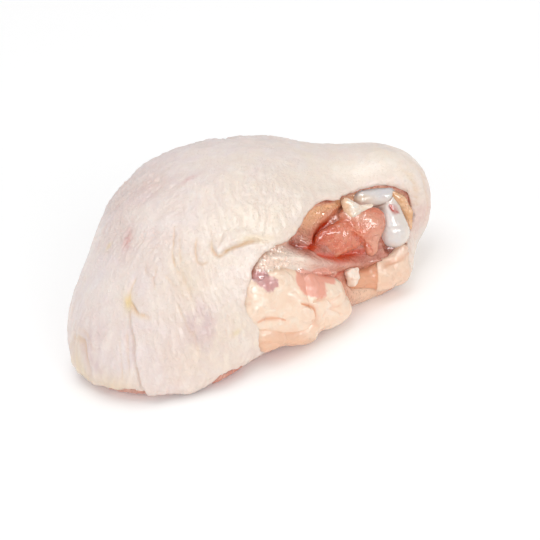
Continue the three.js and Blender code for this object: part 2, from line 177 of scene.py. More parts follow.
# %% Steps, bells and unit vectors
def soft_step(value, low, high):
    share = np.clip((value - low) / (high - low), 0.0, 1.0)
    return share * share * (3.0 - 2.0 * share)


def bell(distance, size):
    return np.exp(-((distance / size) ** 2))


def unit(vectors):
    return vectors / np.linalg.norm(vectors, axis=-1, keepdims=True)


def soft_least(distances, soft):
    """The smallest of several distances, rounded off where they meet."""
    stack = np.stack(distances, -1)
    least = stack.min(-1)
    return least - soft * np.log(np.exp((least[..., None] - stack) / soft).sum(-1))


print("a soft step half way up:", float(soft_step(0.5, 0.0, 1.0)))


# %% Smooth lines, and how far points are from them
def smooth_line(points, closed=False, steps=6):
    corners = np.asarray(points, float)
    count = len(corners)
    spans = count if closed else count - 1
    shares = np.arange(steps)[:, None] / steps
    line = []
    for i in range(spans):
        around = [i - 1, i, i + 1, i + 2]
        around = [k % count for k in around] if closed else np.clip(around, 0, count - 1)
        before, start, end, after = corners[around]
        bend = (2 * start + (end - before) * shares
                + (2 * before - 5 * start + 4 * end - after) * shares**2
                + (3 * start - before - 3 * end + after) * shares**3)
        line.append(0.5 * bend)
    if not closed:
        line.append(corners[-1:])
    return np.concatenate(line)


def near_line(places, line, closed=False):
    """Distance to a line, how far along it (0 to 1), on which side, and the nearest point.

    The line may be flat or in space; in space the side is the one seen from above.
    """
    starts = line if closed else line[:-1]
    ends = np.roll(line, -1, 0) if closed else line[1:]
    best = np.full(len(places), np.inf)
    along = np.zeros(len(places))
    side = np.zeros(len(places))
    nearest = places.copy()
    for i, (start, end) in enumerate(zip(starts, ends)):
        step = end - start
        reach = places - start
        share = np.clip(reach @ step / (step @ step + 1e-12), 0.0, 1.0)
        away = reach - share[:, None] * step
        distance = np.linalg.norm(away, axis=1)
        closer = distance < best
        best[closer] = distance[closer]
        along[closer] = (i + share[closer]) / len(starts)
        side[closer] = np.sign(step[0] * reach[closer, 1] - step[1] * reach[closer, 0])
        nearest[closer] = (start + share[:, None] * step)[closer]
    return best, along, side, nearest


def stroke(points, path, width, scale=1.0):
    """A soft brush stroke along a path, thinner towards its ends."""
    distance, along, _, _ = near_line(points, smooth_line(path))
    taper = 0.35 + 0.65 * np.sin(np.pi * along)
    return bell(distance * scale, width * taper)


def inside_loop(places, loop):
    x, y = places[:, 0], places[:, 1]
    inside = np.zeros(len(places), bool)
    for (ax, ay), (bx, by) in zip(loop, np.roll(loop, -1, 0)):
        if ay != by:
            inside ^= ((ay > y) != (by > y)) & (x < (bx - ax) * (y - ay) / (by - ay) + ax)
    return inside


print("a line through 3 points gets", len(smooth_line([(0, 0), (1, 1), (2, 0)])), "points")


# %% Noise
def scatter(i, j, k, seed):
    """A fixed random number for each whole-numbered place."""
    mixed = (i * 374761393 + j * 668265263 + k * 2246822519 + seed * 3266489917) & 0xFFFFFFFF
    mixed = ((mixed ^ (mixed >> 13)) * 1274126177) & 0xFFFFFFFF
    return ((mixed ^ (mixed >> 16)) & 0xFFFF) / 65535.0


def noise(points, seed=0):
    """Smooth noise from -1 to 1, with lumps about one unit across."""
    floor_corner = np.floor(points).astype(np.int64)
    share = points - floor_corner
    share = share * share * (3.0 - 2.0 * share)
    total = np.zeros(len(points))
    for corner in range(8):
        step = np.array((corner & 1, corner >> 1 & 1, corner >> 2 & 1))
        weight = np.where(step, share, 1.0 - share).prod(-1)
        i, j, k = (floor_corner + step).T
        total += weight * scatter(i, j, k, seed)
    return 2.0 * total - 1.0


def rough_noise(points, seed=0, layers=4):
    """Several layers of noise, each half the size and half the strength of the one before."""
    total = np.zeros(len(points))
    for layer in range(layers):
        total += noise(points * 2.03**layer + 7.7 * layer, seed + layer) * 0.5**layer
    return total / (2.0 - 0.5 ** (layers - 1))


def flat_noise(places, size, seed=0, layers=3):
    """Noise on the map, with lumps of some millimetres."""
    lifted = np.column_stack((places * ARC / size, np.full(len(places), 0.37 + seed)))
    return rough_noise(lifted, seed, layers)


print("noise at three places:", noise(np.array(((0.5, 0, 0), (1.5, 0, 0), (2.5, 0, 0)))).round(2))

# %% [markdown]
# ## The outline of the whole thigh
#
# Under its skin a thigh is a few masses of muscle run together: the haunch, a lower flank at the
# left, the belly at the front and the narrow knee. Each is an egg with its own reach on every
# side, and a soft least-of-all blends them. The same rule rounds the foot off into the board.
# Seen from the middle, each direction meets this outline once, so halving a span again and again
# finds it.

# %% Four masses and the outline they make
MASSES = {  # centre, reach on the low and high side of x, y and z
    "haunch": ((-8, 10, 12), (40, 46), (46, 36), (19, 42)),
    "flank": ((-24, -6, 2), (37, 18), (34, 20), (10, 29)),
    "knee": ((42, 12, 24), (28, 20), (11, 16), (18, 15.5)),
    "belly": ((18, -7, 7), (24, 32), (7, 20), (13, 21)),
}
SQUARENESS = 2.3
BLEND = 6.0
FLOOR_ROUND = 2.2
PRESSED_FLAT = 0.3  # depth of soft underside that the board presses flat


def mass_distance(points, centre, *reach):
    away = points - np.array(centre, float)
    sides = np.array(reach, float)
    radii = np.where(away < 0, sides[:, 0], sides[:, 1])
    stretched = (np.abs(away / radii) ** SQUARENESS).sum(-1) ** (1 / SQUARENESS)
    return 0.9 * (stretched - 1.0) * sides.mean()


def body_distance(points):
    mass = soft_least([mass_distance(points, *mass) for mass in MASSES.values()], BLEND)
    return -soft_least([-mass, points[..., 2] + PRESSED_FLAT], FLOOR_ROUND)


def body_radius(directions):
    inner = np.zeros(len(directions))
    outer = np.full(len(directions), 95.0)
    for _ in range(22):
        half = (inner + outer) / 2
        within = body_distance(THIGH_MIDDLE + directions * half[:, None]) < 0
        inner = np.where(within, half, inner)
        outer = np.where(within, outer, half)
    return inner


straight_up = np.array(((0.0, 0.0, 1.0),))
print("height over the middle:", round(float(THIGH_MIDDLE[2] + body_radius(straight_up)[0]), 1), "mm")

# %% [markdown]
# ## A flat map of the skin
#
# To draw folds and edges on a round body, it helps to unroll it. On this map the distance from
# the origin is the angle from straight up, and the bearing is the bearing round the thigh. The
# opening at the knee is then simply a bite out of the sheet's lower right side.


# %% From the map to a direction, and back
def map_to_direction(places):
    tilt = np.hypot(places[:, 0], places[:, 1])
    bearing = np.arctan2(places[:, 1], places[:, 0])
    flat = np.sin(tilt)
    return np.column_stack((flat * np.cos(bearing), flat * np.sin(bearing), np.cos(tilt)))


def points_to_map(points):
    away = unit(points - THIGH_MIDDLE)
    tilt = np.arccos(np.clip(away[:, 2], -1, 1))
    bearing = np.arctan2(away[:, 1], away[:, 0])
    return np.column_stack((tilt * np.cos(bearing), tilt * np.sin(bearing)))


def map_blob(places, at, size, angle=0.0):
    """A soft oval patch on the map, one in its middle; its half-widths are in millimetres."""
    away = (places - np.array(at)) * ARC
    wide, tall = size
    turned = away @ np.array(((math.cos(angle), -math.sin(angle)), (math.sin(angle), math.cos(angle))))
    return np.exp(-((turned[:, 0] / wide) ** 2) - (turned[:, 1] / tall) ** 2)


def map_stroke(places, path, width):
    """A brush stroke on the map, with its width in millimetres."""
    return stroke(places, path, width, ARC)


def blots(places, *spots):
    """Oval patches added up: strength, place on the map, half-widths and, if it has one, turn."""
    return sum(strength * map_blob(places, *spot) for strength, *spot in spots)


print("straight ahead lies at", points_to_map(THIGH_MIDDLE + np.array(((0, -1.0, 0),))).round(2))

# %% [markdown]
# ## Meshes with painted masks
#
# Each piece gets a mesh and a few masks: numbers from nought to one at every point that say how
# bloody, fatty or creased it is there and where shade is painted. The materials read them by name,
# and a mask that a piece doesn't have counts as nought. This keeps the painted shade of a fold
# exactly in the fold, which a texture wrapped round the piece would not.


# %% Making a piece from points, faces and masks
def make_piece(name, points, faces, masks, material, slot, *nodes):
    """Makes a mesh that rides on the part and replaces the solids of some nodes; `slot` is not used."""
    mesh = bpy.data.meshes.new(name)
    mesh.from_pydata(to_scene(points).tolist(), [], faces.tolist())
    for mask_name, values in masks.items():
        layer = mesh.attributes.new(mask_name, "FLOAT", "POINT")
        layer.data.foreach_set("value", np.clip(values, 0, 1).astype(np.float32))
    mesh.shade_smooth()
    mesh.materials.append(material)
    piece = bpy.data.objects.new(name, mesh)
    bpy.context.scene.collection.objects.link(piece)
    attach(piece, "root")
    if nodes:
        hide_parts(*nodes)
    print(f"{name}: {len(mesh.vertices)} points, {len(mesh.polygons)} faces")


# %% [markdown]
# ## Building materials from nodes
#
# A material is a small recipe of nodes. These helpers place a node, mix two colours by a mask and
# read a painted mask, so each recipe below reads from top to bottom. Numbers that stay the same
# are set on the sockets themselves.


# %% Colours, numbers and masks
def paint(code):
    """A colour written as in a paint program, as the linear numbers that shaders use."""
    parts = [int(code[i : i + 2], 16) / 255 for i in (1, 3, 5)]
    return tuple(c / 12.92 if c <= 0.04045 else ((c + 0.055) / 1.055) ** 2.4 for c in parts) + (1.0,)


def plug(tree, socket, value):
    """Links a node's output to a socket, or sets the socket to a number or a colour."""
    if isinstance(value, bpy.types.NodeSocket):
        tree.links.new(value, socket)
    else:
        socket.default_value = value


def mix(tree, share, first, second):
    node = tree.nodes.new("ShaderNodeMix")
    node.data_type = "RGBA"
    plug(tree, node.inputs["Factor"], share)
    plug(tree, node.inputs[6], first)
    plug(tree, node.inputs[7], second)
    return node.outputs[2]


def calculate(tree, operation, first, second=0.0, clamp=False):
    node = tree.nodes.new("ShaderNodeMath")
    node.operation = operation
    node.use_clamp = clamp
    plug(tree, node.inputs[0], first)
    plug(tree, node.inputs[1], second)
    return node.outputs[0]


def spread(tree, value, low, high, to_low=0.0, to_high=1.0):
    node = tree.nodes.new("ShaderNodeMapRange")
    node.interpolation_type = "SMOOTHSTEP"
    for socket, number in zip(node.inputs, (value, low, high, to_low, to_high)):
        plug(tree, socket, number)
    return node.outputs[0]


def painted(tree, mask):
    node = tree.nodes.new("ShaderNodeAttribute")
    node.attribute_name = mask
    return node.outputs["Fac"]


def tinted(tree, colour, **tints):
    """Lays each tint over the colour where the painted mask of the same name says so."""
    for mask, code in tints.items():
        colour = mix(tree, painted(tree, mask), colour, paint(code))
    return colour


print("cream in shader numbers:", [round(v, 2) for v in paint("#f9ebde")])


# %% Textures, groups and surfaces
def object_place(tree, stretch=(1.0, 1.0, 1.0), turned=(0.0, 0.0, 0.0)):
    """Where a point of the surface is, stretched and turned for textures that run one way."""
    place_node = tree.nodes.new("ShaderNodeTexCoord")
    mapping = tree.nodes.new("ShaderNodeMapping")
    mapping.inputs["Rotation"].default_value = turned
    mapping.inputs["Scale"].default_value = stretch
    tree.links.new(place_node.outputs["Object"], mapping.inputs["Vector"])
    return mapping.outputs["Vector"]


def noise_texture(tree, vector, scale, detail, warp, roughness=0.5):
    node = tree.nodes.new("ShaderNodeTexNoise")
    for name, value in (("Vector", vector), ("Scale", scale), ("Detail", detail),
                        ("Roughness", roughness), ("Distortion", warp)):
        plug(tree, node.inputs[name], value)
    return node.outputs["Fac"]


def new_group(name, inputs, outputs):
    tree = bpy.data.node_groups.new(name, "ShaderNodeTree")
    for socket_name, kind, value in inputs:
        socket = tree.interface.new_socket(socket_name, in_out="INPUT", socket_type=kind)
        socket.default_value = value
    for socket_name, kind in outputs:
        tree.interface.new_socket(socket_name, in_out="OUTPUT", socket_type=kind)
    return tree, tree.nodes.new("NodeGroupInput"), tree.nodes.new("NodeGroupOutput")


def use_group(tree, group, **values):
    node = tree.nodes.new("ShaderNodeGroup")
    node.node_tree = group
    for name, value in values.items():
        plug(tree, node.inputs[name.replace("_", " ").capitalize()], value)
    return node


def new_material(name):
    material = bpy.data.materials.new(name)
    material.use_nodes = True
    tree = material.node_tree
    return material, tree, tree.nodes["Principled BSDF"]


def bump(tree, height, depth_mm, shader):
    node = tree.nodes.new("ShaderNodeBump")
    node.inputs["Distance"].default_value = depth_mm * MM
    plug(tree, node.inputs["Height"], height)
    tree.links.new(node.outputs["Normal"], shader.inputs["Normal"])


def flesh_light(shader, depth_mm, weight):
    """Light that soaks into soft tissue and comes out a little way off, reddest farthest."""
    shader.subsurface_method = "BURLEY"
    shader.inputs["Subsurface Weight"].default_value = weight
    shader.inputs["Subsurface Radius"].default_value = (1.0, 0.45, 0.3)
    shader.inputs["Subsurface Scale"].default_value = depth_mm * MM


print("a bump of one millimetre is", MM, "of a scene unit high")

# %% [markdown]
# ## Effects that several materials share
#
# Blotches: colour in raw tissue is never even. Wet film: moisture lies on everything in small
# uneven beads, which break the highlights into glints. Fibres: muscle and fascia are threads that
# run one way. Each is a node group with its own sizes, used again and again below.

# %% Blotches
BLOTCHES, inside, outside = new_group(
    "blotches",
    [(name, "NodeSocketFloat", value) for name, value in (("Size", 6.0), ("Cover", 0.5), ("Softness", 0.1))],
    [("Mask", "NodeSocketFloat")],
)
blotch_scale = calculate(BLOTCHES, "DIVIDE", 1.0 / MM, inside.outputs["Size"])
blotch_place = object_place(BLOTCHES)
blotch_noise = noise_texture(BLOTCHES, blotch_place, blotch_scale, detail=4.0, warp=0.6, roughness=0.6)
edge = calculate(BLOTCHES, "SUBTRACT", 1.0, inside.outputs["Cover"])
low_edge = calculate(BLOTCHES, "SUBTRACT", edge, inside.outputs["Softness"])
high_edge = calculate(BLOTCHES, "ADD", edge, inside.outputs["Softness"])
plug(BLOTCHES, outside.inputs["Mask"], spread(BLOTCHES, blotch_noise, low_edge, high_edge))


def blotched(tree, colour, code, share, size, cover, softness):
    """Lays a second colour over the first in blotches, as strongly as `share` says."""
    group = use_group(tree, BLOTCHES, size=size, cover=cover, softness=softness)
    return mix(tree, calculate(tree, "MULTIPLY", group.outputs["Mask"], share), colour, paint(code))


print("group made:", BLOTCHES.name)

# %% Wet film
WET_FILM, inside, outside = new_group(
    "wet_film",
    [("Bead size", "NodeSocketFloat", 0.8), ("Wetness", "NodeSocketFloat", 0.5)],
    [("Height", "NodeSocketFloat"), ("Dryness", "NodeSocketFloat")],
)
bead_scale = calculate(WET_FILM, "DIVIDE", 1.0 / MM, inside.outputs["Bead size"])
film_place = object_place(WET_FILM)
large_beads, small_beads, pools = [
    noise_texture(WET_FILM, film_place, calculate(WET_FILM, "MULTIPLY", bead_scale, share), detail, warp=0.4)
    for share, detail in ((1.0, 1.0), (2.6, 2.0), (0.22, 2.0))
]
rounded = spread(WET_FILM, large_beads, 0.46, 0.72)
pooled = spread(WET_FILM, calculate(WET_FILM, "ADD", pools, inside.outputs["Wetness"]), 0.85, 1.15)
fine = calculate(WET_FILM, "MULTIPLY", calculate(WET_FILM, "MULTIPLY", small_beads, 0.55), pooled)
plug(WET_FILM, outside.inputs["Height"], calculate(WET_FILM, "ADD", rounded, fine))
plug(WET_FILM, outside.inputs["Dryness"], calculate(WET_FILM, "SUBTRACT", 1.0, pooled))


MIRRORING = 1.75  # of a clear coat, a little more than water's, so that glints read at this size


def wet_finish(tree, shader, bead, wetness, depth_mm, gloss, coat, relief=None, share=1.0):
    """Moisture over a material's own relief: beads, uneven gloss and a clear coat.

    The coat is its weight, its roughness and, if it is wetter than varnish, its mirroring.
    """
    film = use_group(tree, WET_FILM, bead_size=bead, wetness=wetness)
    height = calculate(tree, "MULTIPLY", film.outputs["Height"], share)
    if relief is not None:
        height = calculate(tree, "ADD", relief, height)
    bump(tree, height, depth_mm, shader)
    plug(tree, shader.inputs["Roughness"], spread(tree, film.outputs["Dryness"], 0, 1, *gloss))
    for name, value in zip(("Coat Weight", "Coat Roughness", "Coat IOR"), coat):
        shader.inputs[name].default_value = value


print("group made:", WET_FILM.name)

# %% Fibres
FIBRES, inside, outside = new_group(
    "fibres",
    [("Vector", "NodeSocketVector", (0.0, 0.0, 0.0)), ("Width", "NodeSocketFloat", 0.6)],
    [("Height", "NodeSocketFloat"), ("Mask", "NodeSocketFloat")],
)
fibre_scale = calculate(FIBRES, "DIVIDE", 1.0 / MM, inside.outputs["Width"])
fibre_noise = noise_texture(FIBRES, inside.outputs["Vector"], fibre_scale, detail=2.0, warp=0.3)
plug(FIBRES, outside.inputs["Height"], fibre_noise)
plug(FIBRES, outside.inputs["Mask"], spread(FIBRES, fibre_noise, 0.40, 0.68))


def threads(tree, stretch, turned, width):
    """Height and mask of threads that run along the direction least stretched."""
    group = use_group(tree, FIBRES, vector=object_place(tree, stretch, turned), width=width)
    return group.outputs["Height"], group.outputs["Mask"]


print("group made:", FIBRES.name)

# %% [markdown]
# ## Skin, as a material
#
# Raw skin is pale and slightly see-through: cream where fat lies under it, lilac grey where the
# meat shines through and rosy where it was bruised. The bottoms of folds are painted a darker tan
# and the wrinkle valleys a darker pink grey: painted shade. The small bumps are where feathers
# grew. A picture could be painted for all this, but masks and noise keep it sharp at any distance.

# %% Skin material
SKIN, tree, shader = new_material("raw_skin")
patches = noise_texture(tree, object_place(tree), 1.0 / (9.0 * MM), detail=4.0, warp=0.8)
uneven = spread(tree, patches, 0.35, 0.75, -0.22, 0.30)
lilac = calculate(tree, "ADD", painted(tree, "lilac"), uneven, clamp=True)
colour = mix(tree, lilac, paint("#f5e6d7"), paint("#f0e2e1"))
colour = blotched(tree, colour, "#fbf4ec", 0.35, size=3.2, cover=0.42, softness=0.16)
colour = blotched(tree, colour, "#ecd2c8", 0.30, size=5.0, cover=0.38, softness=0.2)
specks = use_group(tree, BLOTCHES, size=1.6, cover=0.5, softness=0.2)
speckled = spread(tree, specks.outputs["Mask"], 0, 1, 0.55, 1.0)
bruised = calculate(tree, "MULTIPLY", painted(tree, "rosy"), speckled)
colour = mix(tree, bruised, colour, paint("#d99f9b"))
colour = tinted(tree, colour, violet="#dac0c2", yolk="#ecd4a2")
# painted shade: a darker pink grey in the wrinkle valleys and a darker tan in the fold bottoms
for mask, code, share in (("wrinkle_shade", "#dcc6be", 0.28), ("crease", "#e3bd8c", 0.85)):
    colour = mix(tree, calculate(tree, "MULTIPLY", painted(tree, mask), share), colour, paint(code))
plug(tree, shader.inputs["Base Color"], colour)

pores = tree.nodes.new("ShaderNodeTexVoronoi")
plug(tree, pores.inputs["Vector"], object_place(tree))
pores.inputs["Scale"].default_value = 1.0 / (3.6 * MM)
pores.inputs["Randomness"].default_value = 0.8
follicles = calculate(tree, "MULTIPLY", spread(tree, pores.outputs["Distance"], 0.04, 0.24, 1.0, 0.0), 0.8)
creased, _ = threads(tree, stretch=(1.0, 0.35, 0.22), turned=(0.0, 0.25, 0.0), width=0.55)
relief = calculate(tree, "ADD", follicles, calculate(tree, "MULTIPLY", creased, 0.45))
wet_finish(tree, shader, bead=0.8, wetness=0.5, depth_mm=0.15, gloss=(0.34, 0.48), coat=(0.25, 0.2),
           relief=relief, share=0.7)
flesh_light(shader, depth_mm=1.1, weight=0.3)
print("skin has", len(tree.nodes), "nodes")

# %% [markdown]
# ## Meat, as a material
#
# Cut meat is seen through a clear wet film. Where the film is thick and white the meat looks pale
# pink, where muscle lies bare it is salmon, and a thin sheet of fat turns it tan. Its grooves,
# gaps and hollows get painted shade in orange red, wine and dark red. The masks say which is
# where, and fibres run through all of it.

# %% Meat material
MEAT, tree, shader = new_material("raw_meat")
strands, strand_mask = threads(tree, stretch=(0.14, 1.0, 0.8), turned=(0, 0.5, 0.6), width=1.0)
colour = mix(tree, strand_mask, paint("#cc7b64"), paint("#da967f"))
colour = blotched(tree, colour, "#c06450", 0.35, size=4.0, cover=0.42, softness=0.12)
# painted shade: wine, orange red and dark red in the corner, grooves and hollows; tan along the skin's edge
# is painted light
colour = tinted(tree, colour, tan="#fac08c", pale="#fae6d6", pink="#ec9f89", violet="#c98b8a", wine="#b0563f",
                orange="#d8481c", dark="#94452f")
plug(tree, shader.inputs["Base Color"], colour)
wet_finish(tree, shader, bead=1.0, wetness=0.7, depth_mm=0.28, gloss=(0.10, 0.26),
           coat=(0.6, 0.07, MIRRORING), relief=calculate(tree, "MULTIPLY", strands, 0.5))
flesh_light(shader, depth_mm=1.8, weight=0.4)
print("meat has", len(tree.nodes), "nodes")

# %% [markdown]
# ## Muscle, as a material
#
# The flap is one small muscle in its own clear sheath, so it is smoother and shinier than cut
# meat, salmon in its body and paler where it thins out towards its edges. Its creases, its
# underside and the side that dives behind get painted shade.

# %% Muscle material
MUSCLE, tree, shader = new_material("sheathed_muscle")
strands, strand_mask = threads(tree, stretch=(0.14, 1.0, 1.0), turned=(0, 0.2, -0.6), width=1.1)
colour = mix(tree, strand_mask, paint("#dc6a42"), paint("#e2835c"))
colour = blotched(tree, colour, "#d6613f", 0.3, size=5.0, cover=0.45, softness=0.2)
# painted shade: darker in the creases, under the muscle and where it dives behind
colour = tinted(tree, colour, pale="#e8ac90", dark="#cf522a")
plug(tree, shader.inputs["Base Color"], colour)
wet_finish(tree, shader, bead=1.0, wetness=0.7, depth_mm=0.30, gloss=(0.10, 0.22),
           coat=(0.65, 0.07, MIRRORING), relief=calculate(tree, "MULTIPLY", strands, 0.25))
flesh_light(shader, depth_mm=2.4, weight=0.5)
print("muscle has", len(tree.nodes), "nodes")

# %% [markdown]
# ## Fat, as a material
#
# Fresh fat is cream, a little yellow in its thick parts and peach where meat shines through a
# thin edge. It is soft but not watery, so its highlights are broad. Its creases get painted shade
# in orange.

# %% Fat material
FAT, tree, shader = new_material("fresh_fat")
soft_spots = use_group(tree, BLOTCHES, size=3.0, cover=0.5, softness=0.2)
colour = mix(tree, soft_spots.outputs["Mask"], paint("#f5d6bc"), paint("#f9e3ce"))
colour = blotched(tree, colour, "#efc0a8", 0.3, size=4.5, cover=0.4, softness=0.2)
# crease is painted shade along the creases; the orange tint is the knee fat tail's own colour
colour = tinted(tree, colour, peach="#e9b492", orange="#de8c5c", pink="#ec9f89", violet="#c98b8a",
                crease="#e09a72", white="#fbf1e8")
plug(tree, shader.inputs["Base Color"], colour)
wet_finish(tree, shader, bead=3.0, wetness=0.4, depth_mm=0.22, gloss=(0.20, 0.36),
           coat=(0.22, 0.16, MIRRORING))
flesh_light(shader, depth_mm=1.8, weight=0.4)
print("fat has", len(tree.nodes), "nodes")

# %% [markdown]
# ## Cartilage and tendon, as materials
#
# The cap of the bone is glassy and bluish white, with a sharp highlight, because it has to glide
# in the joint. Tendon is its opposite: yellow and fibrous.

# %% Cartilage material
CARTILAGE, tree, shader = new_material("joint_cartilage")
clouds = use_group(tree, BLOTCHES, size=4.5, cover=0.5, softness=0.25)
colour = mix(tree, clouds.outputs["Mask"], paint("#d6d4db"), paint("#e2dbd7"))
# the darkest tint is the fine dark line where the condyles meet, the cartilage's own colour
colour = tinted(tree, colour, pale="#eadccd", yolk="#e6c298", rosy="#b9402f", dark="#946650")
plug(tree, shader.inputs["Base Color"], colour)
wet_finish(tree, shader, bead=1.8, wetness=0.5, depth_mm=0.08, gloss=(0.10, 0.2),
           coat=(0.6, 0.08, MIRRORING))
flesh_light(shader, depth_mm=1.8, weight=0.4)
print("cartilage has", len(tree.nodes), "nodes")

# %% Tendon material
TENDON, tree, shader = new_material("tendon")
strands, strand_mask = threads(tree, stretch=(0.25, 1.0, 1.0), turned=(0, 0, 0), width=1.0)
colour = mix(tree, strand_mask, paint("#f4dcc4"), paint("#fbeee0"))
colour = tinted(tree, colour, peach="#f2bd8e", brown="#da9650")
plug(tree, shader.inputs["Base Color"], colour)
wet_finish(tree, shader, bead=0.7, wetness=0.6, depth_mm=0.17, gloss=(0.12, 0.28),
           coat=(0.5, 0.1, MIRRORING), relief=strands)
flesh_light(shader, depth_mm=1.3, weight=0.35)
print("tendon has", len(tree.nodes), "nodes")

# %% [markdown]
# ## The edge of the skin
#
# The skin was pulled and cut, not tailored, so its edge wanders and is ragged. Its main turns are
# drawn on the map: the front flap, the lip over the opening, the strip beside the knee, the part
# that is tucked under the back, and the hem at the left. Noise adds the small tears.

# %% Edge of the skin
FRONT_EDGE = [
    (0.13, -2.01), (0.24, -1.93), (0.15, -1.75), (0.12, -1.65), (0.04, -1.51), (0.05, -1.44),
    (0.13, -1.33), (0.19, -1.23), (0.31, -1.12), (0.46, -1.03), (0.63, -0.95), (0.74, -0.82),
    (0.85, -0.64), (0.97, -0.46), (1.11, -0.37), (1.18, -0.25), (1.26, -0.15), (1.33, -0.09),
    (1.40, -0.065), (1.47, -0.06), (1.54, -0.07), (1.60, -0.12), (1.64, -0.24), (1.67, -0.36),
    (1.73, -0.45), (1.83, -0.50),
]
TUCKED_EDGE = [
    (2.02, -0.40), (2.12, -0.12), (2.12, 0.35), (2.00, 0.85), (1.75, 1.30), (1.35, 1.70),
    (0.80, 2.05), (0.20, 2.20), (-0.40, 2.15), (-1.00, 1.95), (-1.50, 1.55), (-1.85, 1.00),
    (-1.98, 0.45), (-1.96, -0.05),
]
LEFT_HEM = [
    (-1.84, -0.38), (-1.75, -0.57), (-1.68, -0.78), (-1.58, -0.97), (-1.49, -1.08),
    (-1.41, -1.18), (-1.33, -1.27), (-1.25, -1.35), (-1.18, -1.43), (-1.13, -1.50), (-1.01, -1.62),
    (-0.90, -1.71), (-0.76, -1.79), (-0.65, -1.83), (-0.48, -1.84), (-0.32, -1.90), (-0.11, -2.00),
]
TEARS = 0.020  # how far noise moves the edge, in radians

rim = smooth_line(FRONT_EDGE + TUCKED_EDGE + LEFT_HEM, closed=True, steps=7)
rim_course = np.roll(rim, -1, 0) - np.roll(rim, 1, 0)
rim_outward = unit(np.column_stack((rim_course[:, 1], -rim_course[:, 0])))
ragged = 1.0 + 1.2 * map_blob(rim, (0.15, -1.35), (9, 13))  # most torn at the left of the opening
RIM = rim + rim_outward * (TEARS * ragged * flat_noise(rim, 2.6, seed=3, layers=4))[:, None]
rim_length = np.linalg.norm(np.roll(RIM, -1, 0) - RIM, axis=1).sum() * ARC
print("the edge of the skin is about", round(rim_length), "mm long")

# %% [markdown]
# ## Folds and wrinkles
#
# Loose skin heaps up in a few deep folds where it hangs over the flank, and everywhere else it is
# lined by shallow wrinkles. A fold is a groove along a path with the skin heaped up on its left.
# Wrinkles are noise squeezed across and stretched along one direction, with a valley wherever it
# passes through nought.

# %% The named folds
FOLDS = [  # path on the map, depth, width of the groove, height of the heap; the last two are at the knee
    ([(-0.14, -0.91), (-0.155, -0.98), (-0.13, -1.035), (-0.09, -1.05), (-0.03, -1.03), (0.05, -1.01),
      (0.15, -1.00), (0.26, -0.985), (0.40, -1.00)], 1.2, 0.62, 1.5),
    ([(-0.26, -0.84), (-0.295, -0.91), (-0.31, -0.97), (-0.315, -1.03), (-0.27, -1.065), (-0.22, -1.055)],
     0.6, 0.5, 0.55),
    ([(-0.42, -0.66), (-0.46, -0.76), (-0.50, -0.87), (-0.51, -0.98), (-0.48, -1.07), (-0.46, -1.15),
      (-0.46, -1.27)],
     0.55, 0.5, 0.5),
    ([(-0.40, -0.78), (-0.43, -0.88), (-0.44, -0.97)], 0.35, 0.6, 0.3),
    ([(-0.76, -0.79), (-0.76, -0.87), (-0.74, -0.94), (-0.73, -1.01)], 0.7, 0.55, 0.6),
    ([(-0.745, -0.95), (-0.70, -0.935), (-0.66, -0.90)], 0.5, 0.5, 0.4),
    ([(-0.61, -1.00), (-0.59, -1.05), (-0.56, -1.11)], 0.45, 0.5, 0.4),
    ([(-0.97, -0.94), (-0.94, -1.01), (-0.89, -1.09), (-0.83, -1.16)], 0.9, 0.6, 0.6),
    ([(-0.97, -0.94), (-0.92, -0.87), (-0.86, -0.84)], 0.5, 0.6, 0.4),
    ([(-1.52, -0.62), (-1.46, -0.69), (-1.43, -0.77), (-1.45, -0.86), (-1.50, -0.94)], 0.6, 0.8, 0.6),
    ([(-1.62, -0.52), (-1.56, -0.57), (-1.50, -0.63)], 0.6, 0.9, 0.3),
    ([(-1.46, -0.62), (-1.40, -0.70), (-1.36, -0.80), (-1.35, -0.92)], 0.35, 0.6, 0.5),
    ([(-1.06, -1.08), (-1.11, -1.17), (-1.19, -1.28)], 0.45, 0.55, 0.35),
    ([(-1.12, -1.05), (-1.18, -1.15), (-1.27, -1.25)], 0.35, 0.5, 0.3),
    ([(-0.59, -1.22), (-0.58, -1.36), (-0.55, -1.48), (-0.57, -1.62)], 0.3, 0.7, 0.35),
    ([(1.34, 0.02), (1.42, 0.00), (1.50, -0.04), (1.58, -0.09), (1.64, -0.17)], 0.5, 0.6, 0.5),
    ([(1.36, 0.10), (1.45, 0.07), (1.54, 0.04), (1.62, 0.01), (1.70, -0.05)], 0.4, 0.7, 0.5),
]
FLAP_SIDE = [(-0.96, -0.95), (-0.99, -1.08), (-1.02, -1.20), (-1.08, -1.30), (-1.16, -1.44)]
FLAP_RISE, FLAP_REACH = 1.8, 9.0


